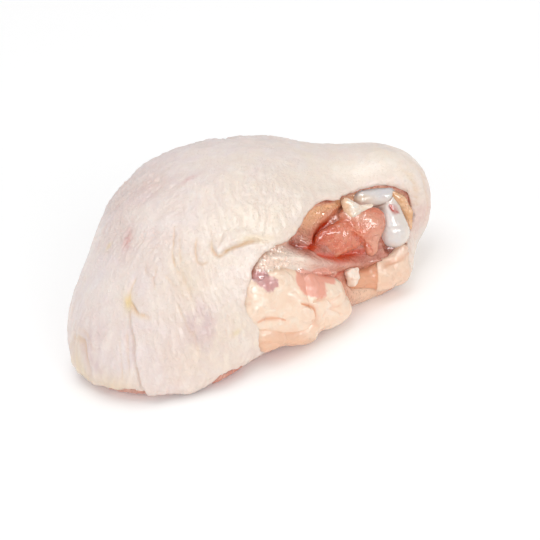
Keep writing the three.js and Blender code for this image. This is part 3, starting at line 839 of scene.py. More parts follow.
def fold_relief(places):
    """Height in millimetres from the folds, and a mask of their bottoms, where shade is painted."""
    height = np.zeros(len(places))
    bottom = np.zeros(len(places))
    jitter = 0.012 * np.column_stack((flat_noise(places, 4, 31), flat_noise(places, 4, 41)))
    unevenness = flat_noise(places, 3.5, 45, 3)
    for path, depth, width, heap in FOLDS:
        distance, along, side, _ = near_line(places + jitter, smooth_line(path))
        away = distance * ARC
        fade = soft_step(along, 0, 0.2) * soft_step(1 - along, 0, 0.2)
        groove = bell(away, width * (1.0 + 0.35 * unevenness))
        lump = np.where(side > 0, bell(away - 3.0, 2.9) * soft_step(away, 0, 1.4), 0.0)
        height += (0.2 + 0.8 * fade) * (0.85 * heap * lump - depth * (0.85 + 0.4 * unevenness) * groove)
        tint = (0.3 + 0.7 * fade) * bell(away, 0.8 * width) * min(1.0, depth)
        bottom = np.maximum(bottom, tint * soft_step(unevenness, -0.8, 0.35))
    distance, along, side, _ = near_line(places + jitter, smooth_line(FLAP_SIDE))
    across = distance * ARC * side
    flap = soft_step(across, -0.7, 0.6) * np.exp(-np.maximum(across, 0) / FLAP_REACH)
    started = soft_step(along, 0, 0.25)
    height += FLAP_RISE * flap * started - 0.6 * started * bell(across + 0.8, 0.9)
    return height, np.maximum(bottom, 0.5 * started * bell(across + 0.6, 0.6))


print("the folds are", max(depth for _, depth, _, _ in FOLDS), "mm deep at most")


# %% Wrinkles
def wrinkles(along, across, length, spacing, seed):
    """Valleys from -1 to 0 that run along one direction; all sizes are in millimetres."""
    grain = np.column_stack((along / length, across / spacing, np.full(len(along), 0.5 + seed)))
    lines = noise(grain, seed) + 0.5 * noise(grain * 2.1, seed + 5)
    return -bell(lines, 0.28)


def turned(x, y, degrees):
    angle = math.radians(degrees)
    return x * math.cos(angle) + y * math.sin(angle), y * math.cos(angle) - x * math.sin(angle)


def wrinkle_relief(places):
    x, y = (places * ARC).T
    tilt = np.hypot(places[:, 0], places[:, 1])
    bearing = np.arctan2(places[:, 1], places[:, 0])
    girth = ARC * np.sin(np.clip(tilt, 0.3, np.pi))
    bend = 1.6 * flat_noise(places, 11, 51, 2)
    patchy = soft_step(flat_noise(places, 12, 55, 2), -0.6, 0.35)
    upper_left = soft_step(-places[:, 0], 0.12, 0.6) * soft_step(1.30 - tilt, 0, 0.35)
    front_wall = map_blob(places, (-0.45, -1.30), (27, 20))
    dome_front = map_blob(places, (0.35, -0.55), (36, 20))
    hem = soft_step(tilt, 1.25, 1.6)
    behind = soft_step(places[:, 1], 0.1, 0.8)
    layers = [  # depth, the directions along and across, length, spacing, seed
        (0.58 * upper_left * patchy, turned(x, y + bend, 20), 6.0, 1.5, 61),
        (0.48 * upper_left * patchy, turned(x, y + bend, 34), 4.0, 1.15, 71),
        (0.38 * front_wall, (y, x + bend), 8.0, 1.6, 81),
        (0.34 * front_wall * patchy, (y, x + bend), 4.0, 1.1, 86),
        (0.36 * dome_front, (y, x + bend), 9.0, 2.4, 91),
        (0.36 * hem, (tilt * ARC, bearing * girth + bend), 8.0, 2.1, 101),
        (0.70 * behind * patchy, turned(x + 2 * bend, y, -25), 15.0, 6.0, 121),
        (0.55 * behind, turned(x + bend, y + bend, -50), 7.0, 2.2, 127),
        (0.07, (x + bend, y - bend), 3.0, 2.4, 111),
    ]
    height = sum(depth * wrinkles(*lines, *sizes) for depth, lines, *sizes in layers)
    wandering = bell(flat_noise(places, 17, 131, 3), 0.10)
    return height + behind * (0.75 * flat_noise(places, 9, 125, 3) - 0.8 * patchy * wandering)


print("wrinkles behind the crown:", wrinkle_relief(np.array(((0.0, 0.9), (0.1, 1.0)))).round(2), "mm")

# %% [markdown]
# ## The sheet of skin
#
# The skin is a grid on the map, with every cell outside the edge left out. Its stepped border is
# pulled onto the edge and the cells behind it ease after it. Grid lines are close together at the
# front, where the folds are, and wider apart behind. Each point is then sent out along its
# direction, once for the outside and once for the inside, and the two meet in a rounded edge.

# %% The grid and its border
SPACING_X = [(-2.25, 0.034), (-1.60, 0.020), (-1.30, 0.0125), (0.30, 0.0125), (0.60, 0.017), (1.60, 0.018),
             (2.35, 0.034)]
SPACING_Y = [(-2.25, 0.030), (-1.80, 0.014), (-0.20, 0.0135), (0.30, 0.020), (0.80, 0.034), (2.45, 0.036)]


def grid_lines(spacing):
    """Grid lines whose distance changes along the way, as (place, distance) pairs say."""
    places, distances = zip(*spacing)
    lines = [places[0]]
    while lines[-1] < places[-1]:
        lines.append(lines[-1] + float(np.interp(lines[-1], places, distances)))
    return np.array(lines)


def neighbours(filled):
    """The cells left, right, below and above each cell."""
    wide = np.pad(filled, 1)
    return wide[:-2, 1:-1], wide[2:, 1:-1], wide[1:-1, :-2], wide[1:-1, 2:]


def filled_cells(xs, ys):
    middles = np.stack(np.meshgrid((xs[1:] + xs[:-1]) / 2, (ys[1:] + ys[:-1]) / 2, indexing="ij"), -1)
    filled = inside_loop(middles.reshape(-1, 2), RIM).reshape(len(xs) - 1, len(ys) - 1)
    for _ in range(3):
        filled = filled & (np.sum(neighbours(filled), axis=0) >= 2)
        touch = filled[:-1, :-1] & filled[1:, 1:] & ~filled[1:, :-1] & ~filled[:-1, 1:]
        cross = ~filled[:-1, :-1] & ~filled[1:, 1:] & filled[1:, :-1] & filled[:-1, 1:]
        filled[1:, 1:] &= ~touch
        filled[1:, :-1] &= ~cross
    return filled


def border_edges(cells):
    starts = cells.ravel()
    ends = np.roll(cells, -1, 1).ravel()
    size = cells.max() + 1
    lonely = ~np.isin(starts * size + ends, ends * size + starts)
    return np.column_stack((starts[lonely], ends[lonely]))


xs = grid_lines(SPACING_X)
ys = grid_lines(SPACING_Y)
columns, rows = np.nonzero(filled_cells(xs, ys))
corners = [(columns + i) * len(ys) + rows + j for i, j in ((0, 0), (1, 0), (1, 1), (0, 1))]
used, numbered = np.unique(np.stack(corners, -1), return_inverse=True)
cells = numbered.reshape(-1, 4)
sheet = np.column_stack((xs[used // len(ys)], ys[used % len(ys)]))
border = border_edges(cells)
print("the sheet has", len(cells), "cells and", len(border), "edges on its border")


# %% Pulling the border onto the edge
def pull_border(sheet, border):
    follower = np.full(len(sheet), -1)
    leader = np.full(len(sheet), -1)
    follower[border[:, 0]] = border[:, 1]
    leader[border[:, 1]] = border[:, 0]
    edge_points = border[:, 0]
    sheet[edge_points] = near_line(sheet[edge_points], RIM, closed=True)[3]
    for _ in range(4):
        middle = 0.5 * (sheet[follower[edge_points]] + sheet[leader[edge_points]])
        sheet[edge_points] = near_line(0.5 * (sheet[edge_points] + middle), RIM, closed=True)[3]


def ease_inside(sheet, cells, border, rings=4, passes=12):
    links = np.concatenate((cells[:, (0, 1)], cells[:, (1, 2)], cells[:, (2, 3)], cells[:, (3, 0)]))
    fixed = np.zeros(len(sheet), bool)
    fixed[border] = True
    near = fixed.copy()
    for _ in range(rings):
        near[links[near[links].any(1)]] = True
    loose = near & ~fixed
    degree = np.bincount(links.ravel(), minlength=len(sheet))
    for _ in range(passes):
        total = np.zeros_like(sheet)
        np.add.at(total, links[:, 0], sheet[links[:, 1]])
        np.add.at(total, links[:, 1], sheet[links[:, 0]])
        sheet[loose] = 0.4 * sheet[loose] + 0.6 * (total / degree[:, None])[loose]


pull_border(sheet, border)
ease_inside(sheet, cells, border)
print("border eased")

# %% Relief of the whole sheet
SKIN_THICKNESS = 2.0
EDGE_ROUND = 1.4  # width of the rounding at the edge
LEAST_HEIGHT = 0.02  # of the skin over the board
HEM_BULGE = (-0.86, -1.73)

directions = map_to_direction(sheet)
outline = body_radius(directions)
folds, fold_bottoms = fold_relief(sheet)
lines = wrinkle_relief(sheet)
lumps = 0.45 * flat_noise(sheet, 11, 121, 3) + 0.15 * flat_noise(sheet, 4, 131, 3)
rim_distance = near_line(sheet, RIM, closed=True)[0] * outline
rim_distance[border] = 0.0
lip = 0.7 * bell(rim_distance - 2.0, 2.2) * map_blob(sheet, (0.9, -0.5), (34, 22))
bulge = 1.6 * map_blob(sheet, HEM_BULGE, (8, 8)) + 0.8 * map_blob(sheet, (-1.66, -0.62), (4, 5))
calm = soft_step(rim_distance, 0.0, 1.5)
skin_radius = outline + bulge + lip + folds + lumps + lines * (0.3 + 0.7 * calm)
stands_out = skin_radius - outline
print("skin stands out by", stands_out.min().round(1), "to", stands_out.max().round(1), "mm")

# %% [markdown]
# ## Colour of the skin
#
# The masks follow what causes the colour. Lilac grows towards the crown and the left, where the
# skin is stretched thin over meat. Yellow fat shows in the lip and in specks. Two small bruises,
# some violet patches on the front wall, and painted shade in the bottoms of the folds and in the
# wrinkles finish it.

# %% Skin masks
rosy = 0.14 * bell(rim_distance, 2.5) + blots(
    sheet,
    (0.9, (-0.85, -0.48), (2.2, 4.6), -0.5), (0.5, (-0.19, -0.19), (5.0, 1.4), 0.4),
    (0.2, (-0.68, -0.05), (11, 7)), (0.14, (-0.75, -1.5), (9, 8)), (0.5, (1.62, -0.02), (4, 9)),
    (0.3, (-1.44, -0.80), (1.5, 5), 0.2),
)
violet = soft_step(flat_noise(sheet, 3.0, 141), -0.5, 0.4) * blots(
    sheet,
    (0.95, (-0.53, -1.45), (4.2, 8)), (1.0, (-0.40, -1.42), (4.0, 6)), (0.4, (-0.36, -1.62), (4, 5)),
    (0.9, (-1.38, -0.90), (6, 8)), (0.35, (-0.62, -0.12), (14, 9)),
)
yolk = blots(
    sheet,
    (0.8, (-1.04, -0.33), (1.3, 1.0)), (0.85, (-0.975, -0.935), (1.5, 1.9)), (0.6, (-0.15, -1.64), (2.6, 1)),
    (0.4, (0.29, -0.96), (8, 1.6)), (0.6, (-1.62, -0.76), (6, 9)), (0.5, (-1.40, -1.16), (14, 3.5), -0.85),
    (0.3, (-0.97, -0.95), (4, 5)), (0.12, (0.5, -0.8), (22, 7)), (0.25, (-0.45, -1.10), (6, 8)),
    (0.12, (-0.35, -1.6), (24, 13)),
)
toward_left = 0.75 * soft_step(-sheet[:, 0], -0.55, 0.9)
toward_back = 0.5 * soft_step(sheet[:, 1], 0.0, 0.7)
lilac = np.clip(toward_left + 0.55 * map_blob(sheet, (0.35, 0.25), (30, 20)) + toward_back, 0, 1)
for share, *fatty_place in ((0.75, (-0.35, -1.10), (20, 14)), (0.8, (-0.40, -1.62), (24, 13))):
    lilac = lilac * (1 - share * map_blob(sheet, *fatty_place))
skin_masks = {
    "rosy": rosy, "violet": violet, "yolk": yolk, "lilac": lilac,
    # painted shade in the fold bottoms and the wrinkle valleys
    "crease": fold_bottoms * soft_step(calm, 0.2, 0.8), "wrinkle_shade": np.clip(-lines / 0.3, 0, 1),
}
print("masks:", {name: round(float(values.mean()), 3) for name, values in skin_masks.items()})

# %% Skin as a closed sheet
fullness = np.sqrt(np.clip(1 - (1 - np.clip(rim_distance / EDGE_ROUND, 0, 1)) ** 2, 0, 1))
half_skin = SKIN_THICKNESS / 2
faces_out = skin_radius - half_skin + half_skin * fullness
faces_in = skin_radius - half_skin - half_skin * fullness
outer = THIGH_MIDDLE + directions * faces_out[:, None]
inner = THIGH_MIDDLE + directions * faces_in[:, None]
within = np.setdiff1d(np.arange(len(sheet)), border)
twin = np.arange(len(sheet))
twin[within] = len(sheet) + np.arange(len(within))
skin_points = np.vstack((outer, inner[within]))
skin_points[:, 2] = np.maximum(skin_points[:, 2], LEAST_HEIGHT)
skin_faces = np.vstack((cells, twin[cells][:, ::-1]))
both = {name: np.concatenate((values, values[within])) for name, values in skin_masks.items()}
make_piece("thigh_skin", skin_points, skin_faces, both, SKIN, "skin", "skin")

# %% [markdown]
# ## A ball of points
#
# Everything under the skin is star-shaped enough to be cast from a point inside it. A ball made
# from a cube has evenly sized cells and no poles, and it can be leaned so that more of its points
# look one way, which puts the detail where the eye goes.


# %% Cube ball
def cube_ball(cells_across, toward=(0.0, 0.0, 0.0)):
    """Directions and four-sided faces of a ball. The longer `toward` is, the denser it is there."""
    steps = np.tan(np.linspace(-np.pi / 4, np.pi / 4, cells_across + 1))
    points, faces = [], []
    for axis in range(3):
        for sign in (-1.0, 1.0):
            first, second = np.meshgrid(steps, steps, indexing="ij")
            side = np.empty((first.size, 3))
            side[:, axis] = sign
            side[:, (axis + 1) % 3] = first.ravel()
            side[:, (axis + 2) % 3] = second.ravel()
            start = len(points) * first.size
            row = cells_across + 1
            corner = start + (np.arange(cells_across)[:, None] * row + np.arange(cells_across)).ravel()
            square = np.stack((corner, corner + row, corner + row + 1, corner + 1), -1)
            faces.append(square if sign > 0 else square[:, ::-1])
            points.append(unit(side))
    merged, numbers = np.unique(np.concatenate(points).round(7), axis=0, return_inverse=True)
    return unit(merged + np.array(toward)), numbers.reshape(-1)[np.concatenate(faces)]


print("a ball with 4 cells on an edge has", len(cube_ball(4)[0]), "points")

# %% [markdown]
# ## The meat
#
# The meat fills the skin and comes out at the opening and underneath. In the opening it lies
# back: deepest under the lip, behind the bone and behind the loose muscle, with a rounded strip
# of meat along the bottom. Underneath, seams part its muscles.

# %% Hollows, strips and seams of the meat
HOLLOWS = [  # place on the map, half-widths, turn, depth
    ((0.95, -0.70), (9, 6.5), 0.7, 2.9),
    ((0.80, -0.92), (4, 3), 0.0, 2.2),
    ((1.45, -0.26), (7, 8), 0.0, 4.5),
    ((1.25, -0.61), (8, 6), 0.0, 2.5),
    ((0.63, -1.54), (9, 9), 0.0, 2.5),
    ((1.61, -0.42), (1.8, 2.2), 0.0, 2.4),
]
GROOVES = [  # path on the map, depth, width
    ([(0.97, -0.93), (1.05, -0.80), (1.12, -0.68), (1.18, -0.52), (1.21, -0.40), (1.26, -0.28)], 2.2, 2.0),
    ([(0.69, -0.96), (0.84, -0.94), (0.94, -0.92), (1.02, -0.84)], 1.2, 1.2),
    ([(1.00, -0.97), (1.12, -0.93), (1.25, -0.86), (1.42, -0.69), (1.50, -0.58)], 1.0, 0.8),
    ([(1.18, -1.19), (1.28, -1.06), (1.37, -0.94), (1.46, -0.85)], 0.4, 0.8),
]
LOOP = [  # the rim of a torn sheath
    (0.90, -1.21), (0.99, -1.15), (1.13, -1.09), (1.28, -1.01), (1.24, -1.09), (1.09, -1.17), (0.95, -1.21),
]
RIDGES = [  # path on the map, height, width
    ([(0.42, -1.13), (0.72, -1.09), (1.08, -1.02), (1.45, -0.78), (1.58, -0.59)], 2.6, 2.8),
    ([(0.45, -1.33), (0.70, -1.30), (0.92, -1.28), (1.05, -1.24)], 1.4, 2.4),
    (LOOP, 0.6, 0.5),
]
STRINGS = (0.44, -1.13)  # where torn whitish film lies in strings
SEAMS = [  # path under the thigh in millimetres, depth, width
    ([(-48, 2), (-20, 12), (12, 8), (40, 4)], 1.8, 2.4),
    ([(-20, 12), (-12, 26), (4, 38)], 1.5, 2.2),
]


def film_strings(places):
    """Thin curling ridges, along the noughts of two bent noises."""
    coarse = bell(flat_noise(places, 2.6, 155, 2), 0.13)
    fine = bell(flat_noise(places, 2.1, 157, 2), 0.12)
    return np.maximum(coarse, fine) * soft_step(map_blob(places, STRINGS, (9, 7)), 0.15, 0.6)


def open_relief(places):
    """How far the bare meat lies back in the opening, from its hollows, grooves and ridges."""
    depth = np.full(len(places), 3.0)
    for at, size, angle, deep in HOLLOWS:
        depth += deep * map_blob(places, at, size, angle)
    for path, deep, width in GROOVES:
        depth += deep * map_stroke(places, path, width)
    for path, high, width in RIDGES:
        depth -= high * map_stroke(places, path, width)
    clotted = 1 + flat_noise(places, 1.4, 198)
    depth -= 1.0 * film_strings(places) + 0.5 * pink_patch(places) + 0.7 * violet_clot(places) * clotted
    return depth - 1.4 * map_blob(places, (0.30, -1.27), (8, 12))


def meat_depth(directions):
    places = points_to_map(THIGH_MIDDLE + directions)
    tilt = np.hypot(places[:, 0], places[:, 1])
    side = np.where(inside_loop(places, RIM), 1.0, -1.0)
    from_edge = side * near_line(places, RIM, closed=True)[0] * ARC
    covered = soft_step(from_edge, -1.6, 0.9)
    under = soft_step(tilt, 1.75, 1.95)
    is_open = (1 - covered) * (1 - under)
    depth = covered * (SKIN_THICKNESS + 0.45) + (1 - covered) * under * 0.15 + open_relief(places) * is_open
    grain = np.column_stack((places[:, 0] * 2.2, places[:, 1] * 9.0, np.full(len(places), 0.3))) * ARC / 9.0
    strip, lip = map_blob(places, (0.55, -1.16), (16, 8), 0.1), map_blob(places, (1.0, -0.56), (12, 6), 1.0)
    smooth = (1 - 0.8 * strip) * (1 - 0.7 * lip)  # a film covers the threads on the strip and under the lip
    lumps = 0.30 * flat_noise(places, 3.0, 151) + 0.22 * rough_noise(grain * 2.0, 161)
    return depth + smooth * lumps * (1 - covered), places, is_open, under


def lift_seams(points):
    low = soft_step(6.0 - points[:, 2], 0, 4.0)
    lift = np.zeros(len(points))
    wander = 1.2 * np.column_stack((noise(points / 9.0, 171), noise(points / 9.0, 181)))
    for path, depth, width in SEAMS:
        distance, along, _, _ = near_line(points[:, :2] + wander, smooth_line(path))
        lift = np.maximum(lift, depth * np.sin(np.pi * np.clip(along, 0.05, 0.95)) * bell(distance, width))
    return lift * low


def scrap(places, at, size, angle, seed, torn=0.45):
    """A patch of other tissue with a clear, wandering edge."""
    wander = torn * flat_noise(places, 2.4, seed, 4)
    return soft_step(map_blob(places, at, size, angle) + wander, 0.36, 0.52)


def pink_patch(places):
    """Fibrous pink tissue, torn from the meat on one side and from the fat on the other."""
    left = scrap(places, (0.86, -1.27), (9.0, 5.6), 0.3, 197, 0.2)
    right = scrap(places, (1.05, -1.14), (8.0, 3.2), 0.48, 199, 0.2)
    return np.maximum(left, right)


def violet_clot(places):
    return scrap(places, (0.31, -1.31), (7.0, 3.6), -0.5, 195)


ball, ball_faces = cube_ball(100, toward=(0.33, -0.28, 0.02))
depth, places, is_open, under = meat_depth(ball)
meat_points = THIGH_MIDDLE + ball * (body_radius(ball) - depth)[:, None]
meat_points[:, 2] = np.maximum(meat_points[:, 2], 0.0)
seam_lift = lift_seams(meat_points)
meat_points[:, 2] += seam_lift
print("meat lies back by", depth.max().round(1), "mm at most")

# %% [markdown]
# ## Colour of the meat
#
# Under the lip lies a tan muscle. Where it dives under its neighbour, and along the other
# grooves, shade is painted in deep orange red; the corner under the lip and the hollows get painted
# shade in wine and dark red, and the tan runs on along the skin's edge as painted light. The
# strip below is pale at the left, where whitish film covers it, and darker at the right. A pink
# fibrous patch and a violet clot lie beside it.

# %% Meat masks
# how strongly each groove gets painted orange-red shade, how many of its points, and how wide
GROOVE_SHADE = [(1.0, 4, 3.0), (0.75, 4, 0.8), (1.0, 5, 2.0), (0.6, 4, 1.0)]

tan = blots(places, (0.95, (0.99, -0.53), (11, 5.5), 1.0), (0.9, (1.52, -0.06), (6, 4)))
tan += 0.8 * map_stroke(places, [(1.08, -0.42), (1.18, -0.29), (1.30, -0.14), (1.45, -0.07)], 3.0)
# painted light: tan along the skin's edge lightens the shade under the lip
tan = np.maximum(tan, 0.75 * map_stroke(places, FRONT_EDGE[8:24], 1.8))

# painted shade in orange red behind the muscle and along the grooves
orange = 0.28 * map_blob(places, (1.14, -0.50), (9, 5), 1.0)
for (path, _, _), (share, reach, width) in zip(GROOVES, GROOVE_SHADE):
    orange += share * map_stroke(places, path[:reach], width)

# wine: painted shade in the corner hollow under the lip, and the darker red of the strip's right end
wine = blots(places, (0.9, (0.83, -0.95), (8.0, 3.0), 0.15), (0.35, (1.50, -0.66), (8, 4), 0.9))
# painted shade in the pit at the knee, in the corner under the lip and beside the muscle
dark = blots(places, (0.9, (1.625, -0.42), (1.6, 2.2)), (0.75, (0.76, -0.96), (4.5, 1.6)),
             (0.4, (1.10, -0.88), (2, 2)))
pale = 0.5 * map_stroke(places, LOOP, 0.5) + 0.8 * film_strings(places) + blots(
    places,
    (1.2, (0.66, -1.15), (12, 6.0), 0.1), (1.0, (0.46, -1.20), (9, 7)), (0.25, (1.05, -1.02), (7, 2.5), 0.5),
    (0.45, (1.39, -0.95), (4.5, 4)),
)
pink = 0.9 * pink_patch(places) + 0.9 * map_blob(places, (1.36, -1.00), (8, 4.5), 0.7)
in_opening = {"tan": tan, "orange": orange, "wine": wine, "dark": dark, "pale": pale, "pink": pink,
              "violet": 0.9 * violet_clot(places)}
meat_masks = {name: values * is_open for name, values in in_opening.items()}

below_knee = map_blob(places, (1.72, -0.84), (15, 7), 0.8)
cloudy = soft_step(flat_noise(places, 9, 191), -0.2, 0.6)
sheath = under * cloudy * (0.35 + 0.35 * soft_step(seam_lift, 0.3, 1.4))
hem = 0.5 * soft_step(-places[:, 0], 0.9, 1.2) * (1 - under)
meat_masks["pale"] = np.maximum(np.maximum(meat_masks["pale"], sheath) + hem, 0.45 * below_knee)
meat_masks["tan"] = np.maximum(meat_masks["tan"], 0.8 * below_knee)
make_piece("thigh_flesh", meat_points, ball_faces, meat_masks, MEAT, "meat", "thigh_meat")

# %% [markdown]
# ## Lobes
#
# The muscle, the fat and the end of the bone are lobes: round cones between two points, run
# together softly. Metaballs would do that too, but each lobe here is cast from a point inside it,
# so that its points can be moved in and out again to give it creases and grain.


# %% Casting a lobe
def cone_distance(points, start, end, start_radius, end_radius, flat=1.0, out=(1.0, 0.0, 0.0)):
    """Distance to a round cone, thinner by `flat` along the direction `out`."""
    out = unit(np.array(out, float))
    start, end = np.array(start, float), np.array(end, float)
    stretch = 1 / flat - 1
    away = points - start
    away = away + stretch * (away @ out)[:, None] * out
    axis = end - start
    axis = axis + stretch * (axis @ out) * out
    share = np.clip(away @ axis / (axis @ axis), 0, 1)
    thickness = start_radius + (end_radius - start_radius) * share
    return np.linalg.norm(away - share[:, None] * axis, axis=1) - thickness


class Lobe:
    """Cones run together, as a ball of points that can each be moved out or in."""

    REACH = 26.0  # no lobe is longer than this, in millimetres
    CLEARANCE = 0.3  # between a lobe and the board

    def __init__(self, cones, soft, centre, cells_across, toward=(0.0, 0.0, 0.0)):
        self.cones, self.soft = cones, soft
        self.centre = np.array(centre, float)
        self.directions, self.faces = cube_ball(cells_across, toward)
        inner = np.zeros(len(self.directions))
        growing = np.ones(len(self.directions), bool)
        for step in np.arange(0.5, self.REACH, 0.5):
            growing &= self.filled(np.full(len(self.directions), step))
            inner[growing] = step
        outer = inner + 0.5
        for _ in range(10):
            half = (inner + outer) / 2
            full = self.filled(half)
            inner = np.where(full, half, inner)
            outer = np.where(full, outer, half)
        self.radius = inner

    def points_at(self, radius):
        return self.centre + self.directions * radius[:, None]

    def filled(self, radius):
        points = self.points_at(radius)
        return soft_least([cone_distance(points, *cone) for cone in self.cones], self.soft) < 0

    @property
    def points(self):
        return self.points_at(self.radius)

    @property
    def places(self):
        return points_to_map(self.points)

    def shave(self, spot, facing, soft):
        """Cuts the lobe flat where it passes the plane through `spot` that looks towards `facing`."""
        facing = unit(np.array(facing, float))
        lean = self.directions @ facing
        to_plane = (np.array(spot) - self.centre) @ facing
        limit = np.where(lean > 0.05, to_plane / np.maximum(lean, 0.05), 1e3)
        self.radius = soft_least([self.radius, limit], soft)

    def make(self, name, masks, material, slot, *nodes):
        points = self.points
        points[:, 2] = np.maximum(points[:, 2], self.CLEARANCE)
        make_piece(name, points, self.faces, masks, material, slot, *nodes)


OUT_FRONT = (0.32, -0.94, 0.1)  # away from the meat under the front fat
OUT_KNEE = (0.44, -0.86, 0.24)  # and away from the knee
print("lobes face", OUT_FRONT, "and", OUT_KNEE)

# %% [markdown]
# ## The end of the bone
#
# Two rounded condyles, capped with cartilage, with a fine dark line where they meet, a red spot
# of marrow and a yellowish rim where the joint's capsule was cut.

# %% Bone end
BONE_CONES = [
    ((40.5, -1, 30.5), (48.5, 2.5, 28), 3.0, 3.6, 0.9, OUT_KNEE),
    ((49, 0, 24.5), (48.2, -5.8, 19.0), 3.2, 5.2, 0.85, OUT_KNEE),
    ((47.5, 4, 24), (47.5, 8, 21.5), 5.0, 6.0),
]
HAIRLINE = [(41.0, -3.2, 28.8), (43.1, -2.2, 27.7), (46.1, -1.5, 27.2), (49.3, -0.8, 27.8), (51.2, 0.6, 29.2)]
MARROW = [(48.9, -1.5, 26.8), (49.4, -3.2, 25.3), (50.6, -4.3, 23.6)]

bone = Lobe(BONE_CONES, soft=0.5, centre=(48, 3, 24), cells_across=48, toward=(0.1, -0.45, 0.1))
points, places = bone.points, bone.places
parting = stroke(points, HAIRLINE, 0.38)
marrow = stroke(points + 0.4 * noise(points / 1.6, 203)[:, None], MARROW, 1.1)
bone.radius += 0.12 * noise(points / 3.0, 201) - 0.3 * parting - 0.35 * marrow
bone_masks = {
    "dark": 0.8 * parting,
    "rosy": 1.7 * marrow * (0.8 + 0.3 * noise(bone.points / 0.8, 205)),
    "yolk": blots(places, (0.5, (1.29, -0.21), (2.2, 1.6)), (0.4, (1.60, -0.10), (2.0, 5.0))),
    "pale": blots(places, (0.7, (1.34, -0.20), (4, 2)), (0.4, (1.62, -0.36), (4, 4)),
                  (0.5, (1.42, -0.14), (2, 2)), (0.7, (1.56, -0.29), (7, 6))),
}
bone.make("bone_end", bone_masks, CARTILAGE, "cartilage", "femur_end")

# %% [markdown]
# ## The loose muscle
#
# A small muscle was cut free at the knee and hangs in the opening, with its tip turned down. Its
# threads run along it, and a crease parts the tip from the body. Its sides are cut softly flat,
# because a muscle keeps the form of its neighbours.

# %% Muscle flap
MUSCLE_CONES = [
    ((26.5, -16, 26), (38, -8, 25), 5.0, 5.4),
    ((35, -7.5, 28.5), (42, -6, 25), 3.8, 4.2),
    ((41, -9, 23.5), (39.5, -12, 18), 3.6, 2.2),
]
MUSCLE_SIDES = [  # a point of each flat side, and where the side looks
    ((30, -17.6, 28.6), (0.30, -0.55, 0.78)),
    ((30, -19.0, 26.0), (0.35, -0.93, -0.10)),
    ((40, -13.1, 22.0), (0.35, -0.90, 0.25)),
]
muscle = Lobe(MUSCLE_CONES, soft=0.7, centre=(36.5, -8.5, 25), cells_across=64, toward=(0.1, -0.4, 0.15))
for spot, facing in MUSCLE_SIDES:
    muscle.shave(spot, facing, 1.5)
points, places = muscle.points, muscle.places
tip_crease = map_stroke(places, [(1.28, -0.58), (1.34, -0.585), (1.41, -0.575), (1.50, -0.59)], 0.9)
seam = map_stroke(places, [(1.20, -0.42), (1.24, -0.50), (1.30, -0.56)], 0.7)
run = unit(np.array((11.5, 8.0, -1.0)))  # which way its threads run
along = points @ run
across = points - along[:, None] * run
grain = noise(np.column_stack((across[:, 1] / 2.4, across[:, 2] / 2.4, along / 9.0)), 211)
muscle.radius += 0.2 * grain + 0.25 * noise(points / 4.5, 221) + 0.3 * rough_noise(points / 1.9, 225)
muscle.radius -= 0.9 * tip_crease + 0.35 * seam

BELOW = [(1.05, -0.94), (1.15, -0.96), (1.28, -0.90), (1.40, -0.72)]
BEHIND = [(1.01, -0.88), (1.06, -0.74), (1.12, -0.60), (1.17, -0.48)]
# painted shade in the tip crease, the seam, under the muscle and where it dives behind
muscle_masks = {
    "dark": 0.6 * tip_crease + 0.2 * seam + 0.5 * map_blob(places, (1.04, -0.84), (3.5, 2.5))
            + 0.5 * map_stroke(places, BELOW, 1.2) + 0.85 * map_stroke(places, BEHIND, 2.6),
    "pale": blots(places, (0.7, (1.50, -0.53), (4.5, 4.5)), (0.5, (1.40, -0.40), (5, 4)),
                  (0.6, (1.24, -0.42), (5, 3)), (0.3, (1.22, -0.62), (4, 3))),
}
muscle.make("muscle_flap_piece", muscle_masks, MUSCLE, "muscle", "muscle_flap")

# %% [markdown]
# ## The cushions of fat
#
# The front cushion is a few soft lobes with creases between them, thick and cream in the middle
# and peach at the lower edge, with painted shade in its creases. The one under the knee is a
# small block with an orange tail.

# %% Front fat
FRONT_FAT_CONES = [
    ((1.2, -31.5, 19), (12, -29, 14.5), 7.9, 7.8, 0.55, OUT_FRONT),
    ((22, -24.6, 11.8), (23, -23.5, 7.5), 5.7, 5.8, 0.75, OUT_FRONT),
    ((0.6, -33.8, 10), (12.5, -29, 6), 4.6, 4.2, 0.8, OUT_FRONT),
    ((6.5, -29.5, 25), (15.5, -27, 19.5), 4.4, 3.8, 0.7, OUT_FRONT),
    ((13, -28.5, 14), (21, -25, 12.5), 5.6, 4.6, 0.75, OUT_FRONT),
    ((13, -27.8, 18.2), (21.5, -24.3, 15.2), 4.2, 3.6, 0.75, OUT_FRONT),
    ((-0.5, -30.3, 26.2), (7, -29.5, 24.5), 3.4, 4.0, 0.7, OUT_FRONT),
    ((12, -29, 9.5), (19.5, -25.6, 8.6), 5.0, 4.9, 0.75, OUT_FRONT),
]
FAT_CREASES = [  # path on the map, depth, width
    ([(0.10, -1.71), (0.22, -1.72), (0.38, -1.74), (0.61, -1.75), (0.81, -1.67)], 1.0, 0.9),
    ([(0.70, -1.47), (0.80, -1.46), (0.87, -1.475), (0.92, -1.53), (0.90, -1.60), (0.82, -1.66)], 0.85, 1.0),
    ([(0.85, -1.42), (0.95, -1.37), (1.02, -1.34), (1.09, -1.32), (1.20, -1.22)], 0.8, 0.8),
    ([(0.13, -1.64), (0.23, -1.62), (0.36, -1.62), (0.50, -1.63)], 0.5, 0.5),
    ([(1.00, -1.50), (1.04, -1.43), (1.12, -1.38), (1.24, -1.37)], 0.8, 0.7),
]
cushion = Lobe(FRONT_FAT_CONES, soft=1.5, centre=(12.5, -28, 13.5), cells_across=84, toward=(0.15, -0.4, 0.0))
points, places = cushion.points, cushion.places
crease = sum(deep * map_stroke(places, path, width) for path, deep, width in FAT_CREASES)
upper_crease, side_crease = FAT_CREASES[3][0], FAT_CREASES[1][0][:4]
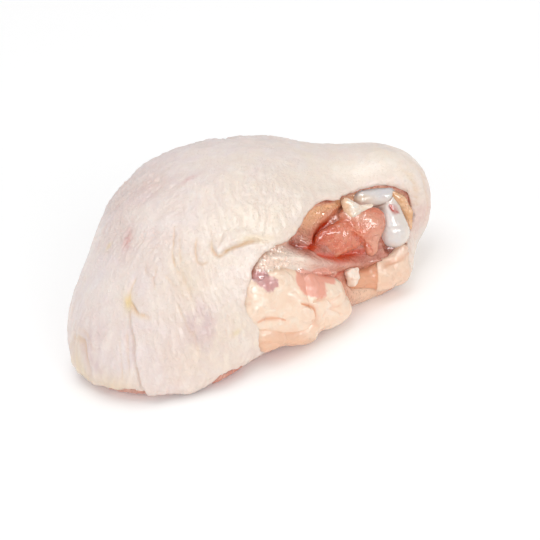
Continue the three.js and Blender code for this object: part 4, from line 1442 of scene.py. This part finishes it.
crease_shade = map_stroke(places, upper_crease, 0.8) + map_stroke(places, side_crease, 0.6)
crumple = np.abs(noise(points / 6.5, 237)) + 0.4 * np.abs(noise(points / 3.0, 239))
cushion.radius += 0.45 * noise(points / 5.0, 231) + 1.3 * (crumple - 0.35) - crease
# painted shade in the creases and along the crumples
fat_masks = {
    "crease": 0.25 * crease + 0.6 * crease_shade + 0.3 * bell(crumple, 0.09),
    "peach": 0.75 * soft_step(-places[:, 1], 1.66, 1.80) + 0.3 * map_blob(places, (0.9, -1.60), (4, 4)),
    "pink": 0.9 * pink_patch(places),
    "violet": 0.9 * violet_clot(places),
    "white": 0.4 * map_blob(places, (1.08, -1.40), (3.0, 2.2)),
}
cushion.make("front_fat_piece", fat_masks, FAT, "fat", "front_fat")

# %% Knee fat
KNEE_FAT_CONES = [
    ((32, -16, 11.5), (40.5, -11.5, 7.5), 3.0, 3.6),
    ((40, -12, 9), (45.5, -10, 7.5), 4.8, 4.6),
    ((46.5, -9.6, 10.5), (48.8, -8.0, 12.4), 3.1, 2.3),
]
wedge = Lobe(KNEE_FAT_CONES, soft=0.6, centre=(42, -11, 8.8), cells_across=52, toward=(0.1, -0.35, 0.1))
points, places = wedge.points, wedge.places
block = soft_step(points[:, 0] - 0.25 * (points[:, 2] - 8), 38.3, 39.1)
wavy_height = points[:, 2] - 12.6 - 0.6 * noise(points / 4.0, 253)
shelf = bell(wavy_height, 0.55) * soft_step(points[:, 0], 41, 43)
top_folds = bell(noise(points / 2.6, 255), 0.2) * soft_step(points[:, 2], 12.8, 14.0)
wedge.radius += 0.45 * rough_noise(points / 4.0, 251) + 0.55 * block - 0.7 * shelf - 0.2 * top_folds
# painted shade along the shelf and in the folds on top
fat_masks = {
    "crease": 0.45 * shelf + 0.4 * top_folds,
    "orange": 0.75 * (1 - block),
    "peach": 0.35 * block + 0.3 * soft_step(places[:, 0], 1.72, 1.85),
    "white": 0.3 * map_blob(places, (1.60, -0.43), (3, 3)),
}
wedge.make("knee_fat_piece", fat_masks, FAT, "fat", "knee_fat")

# %% [markdown]
# ## Scraps
#
# Three small things catch the eye: a curled tab of tendon over the muscle, a white tag of fat
# between the cushions, and the torn edge of the joint's capsule, a brown wet band between the
# bone and the skin.

# %% Tendon tab
OUT_TAB = (0.2, -0.55, 0.8)
TAB_CONES = [
    ((35.2, -6.2, 33.6), (36.4, -7.5, 31.2), 1.7, 2.9, 0.6, OUT_TAB),
    ((36.6, -7.5, 30.8), (38.6, -7.0, 30.2), 2.2, 1.6, 0.6, OUT_TAB),
    ((38.0, -6.9, 30.5), (42.6, -5.9, 30.3), 1.3, 0.8, 0.6, OUT_TAB),
]
tab = Lobe(TAB_CONES, soft=0.35, centre=(37.2, -6.5, 31.1), cells_across=28)
tab.radius += 0.3 * noise(tab.points / 2.2, 261)
tab_masks = {"peach": 0.7 * soft_step(tab.points[:, 0], 36.6, 35.2)}
tab.make("tendon_tab_piece", tab_masks, TENDON, "tendon", "tendon_tab")

# %% Fat tag
TAG_CONES = [
    ((31.2, -18.2, 15.2), (31.4, -18.0, 12.0), 1.9, 1.7),
    ((32.9, -17.4, 14.8), (32.7, -17.6, 13.4), 1.2, 1.2),
]
tag = Lobe(TAG_CONES, soft=0.3, centre=(31.7, -17.9, 13.8), cells_across=26)
facets = np.abs(noise(tag.points / 2.0, 271)) - 0.3
tag.radius += 0.8 * facets + 0.3 * noise(tag.points / 1.2, 273)
tag_masks = {"peach": 0.4 * soft_step(12.6 - tag.points[:, 2], 0, 2), "white": np.full(len(tag.points), 0.4)}
tag.make("fat_tag_piece", tag_masks, FAT, "fat", "fat_tag")

# %% Joint capsule
CAPSULE_CONES = [
    ((50.8, 1.0, 28.6), (52.9, 0.6, 25.8), 1.1, 1.5),
    ((52.9, 0.6, 25.8), (54.0, 0.0, 21.5), 1.5, 1.6),
    ((54.0, 0.0, 21.5), (53.6, -1.8, 17.0), 1.6, 0.9),
]
capsule = Lobe(CAPSULE_CONES, soft=0.35, centre=(53.7, 0.5, 23.4), cells_across=26)
capsule.radius += 0.3 * rough_noise(capsule.points / 1.4, 281)
streaks = soft_step(noise(capsule.points / np.array((1.2, 1.2, 4.0)), 285), -0.2, 0.5)
capsule_masks = {"peach": np.full(len(streaks), 0.8), "brown": 0.15 + 0.6 * streaks}
capsule.make("joint_capsule", capsule_masks, TENDON, "tendon")
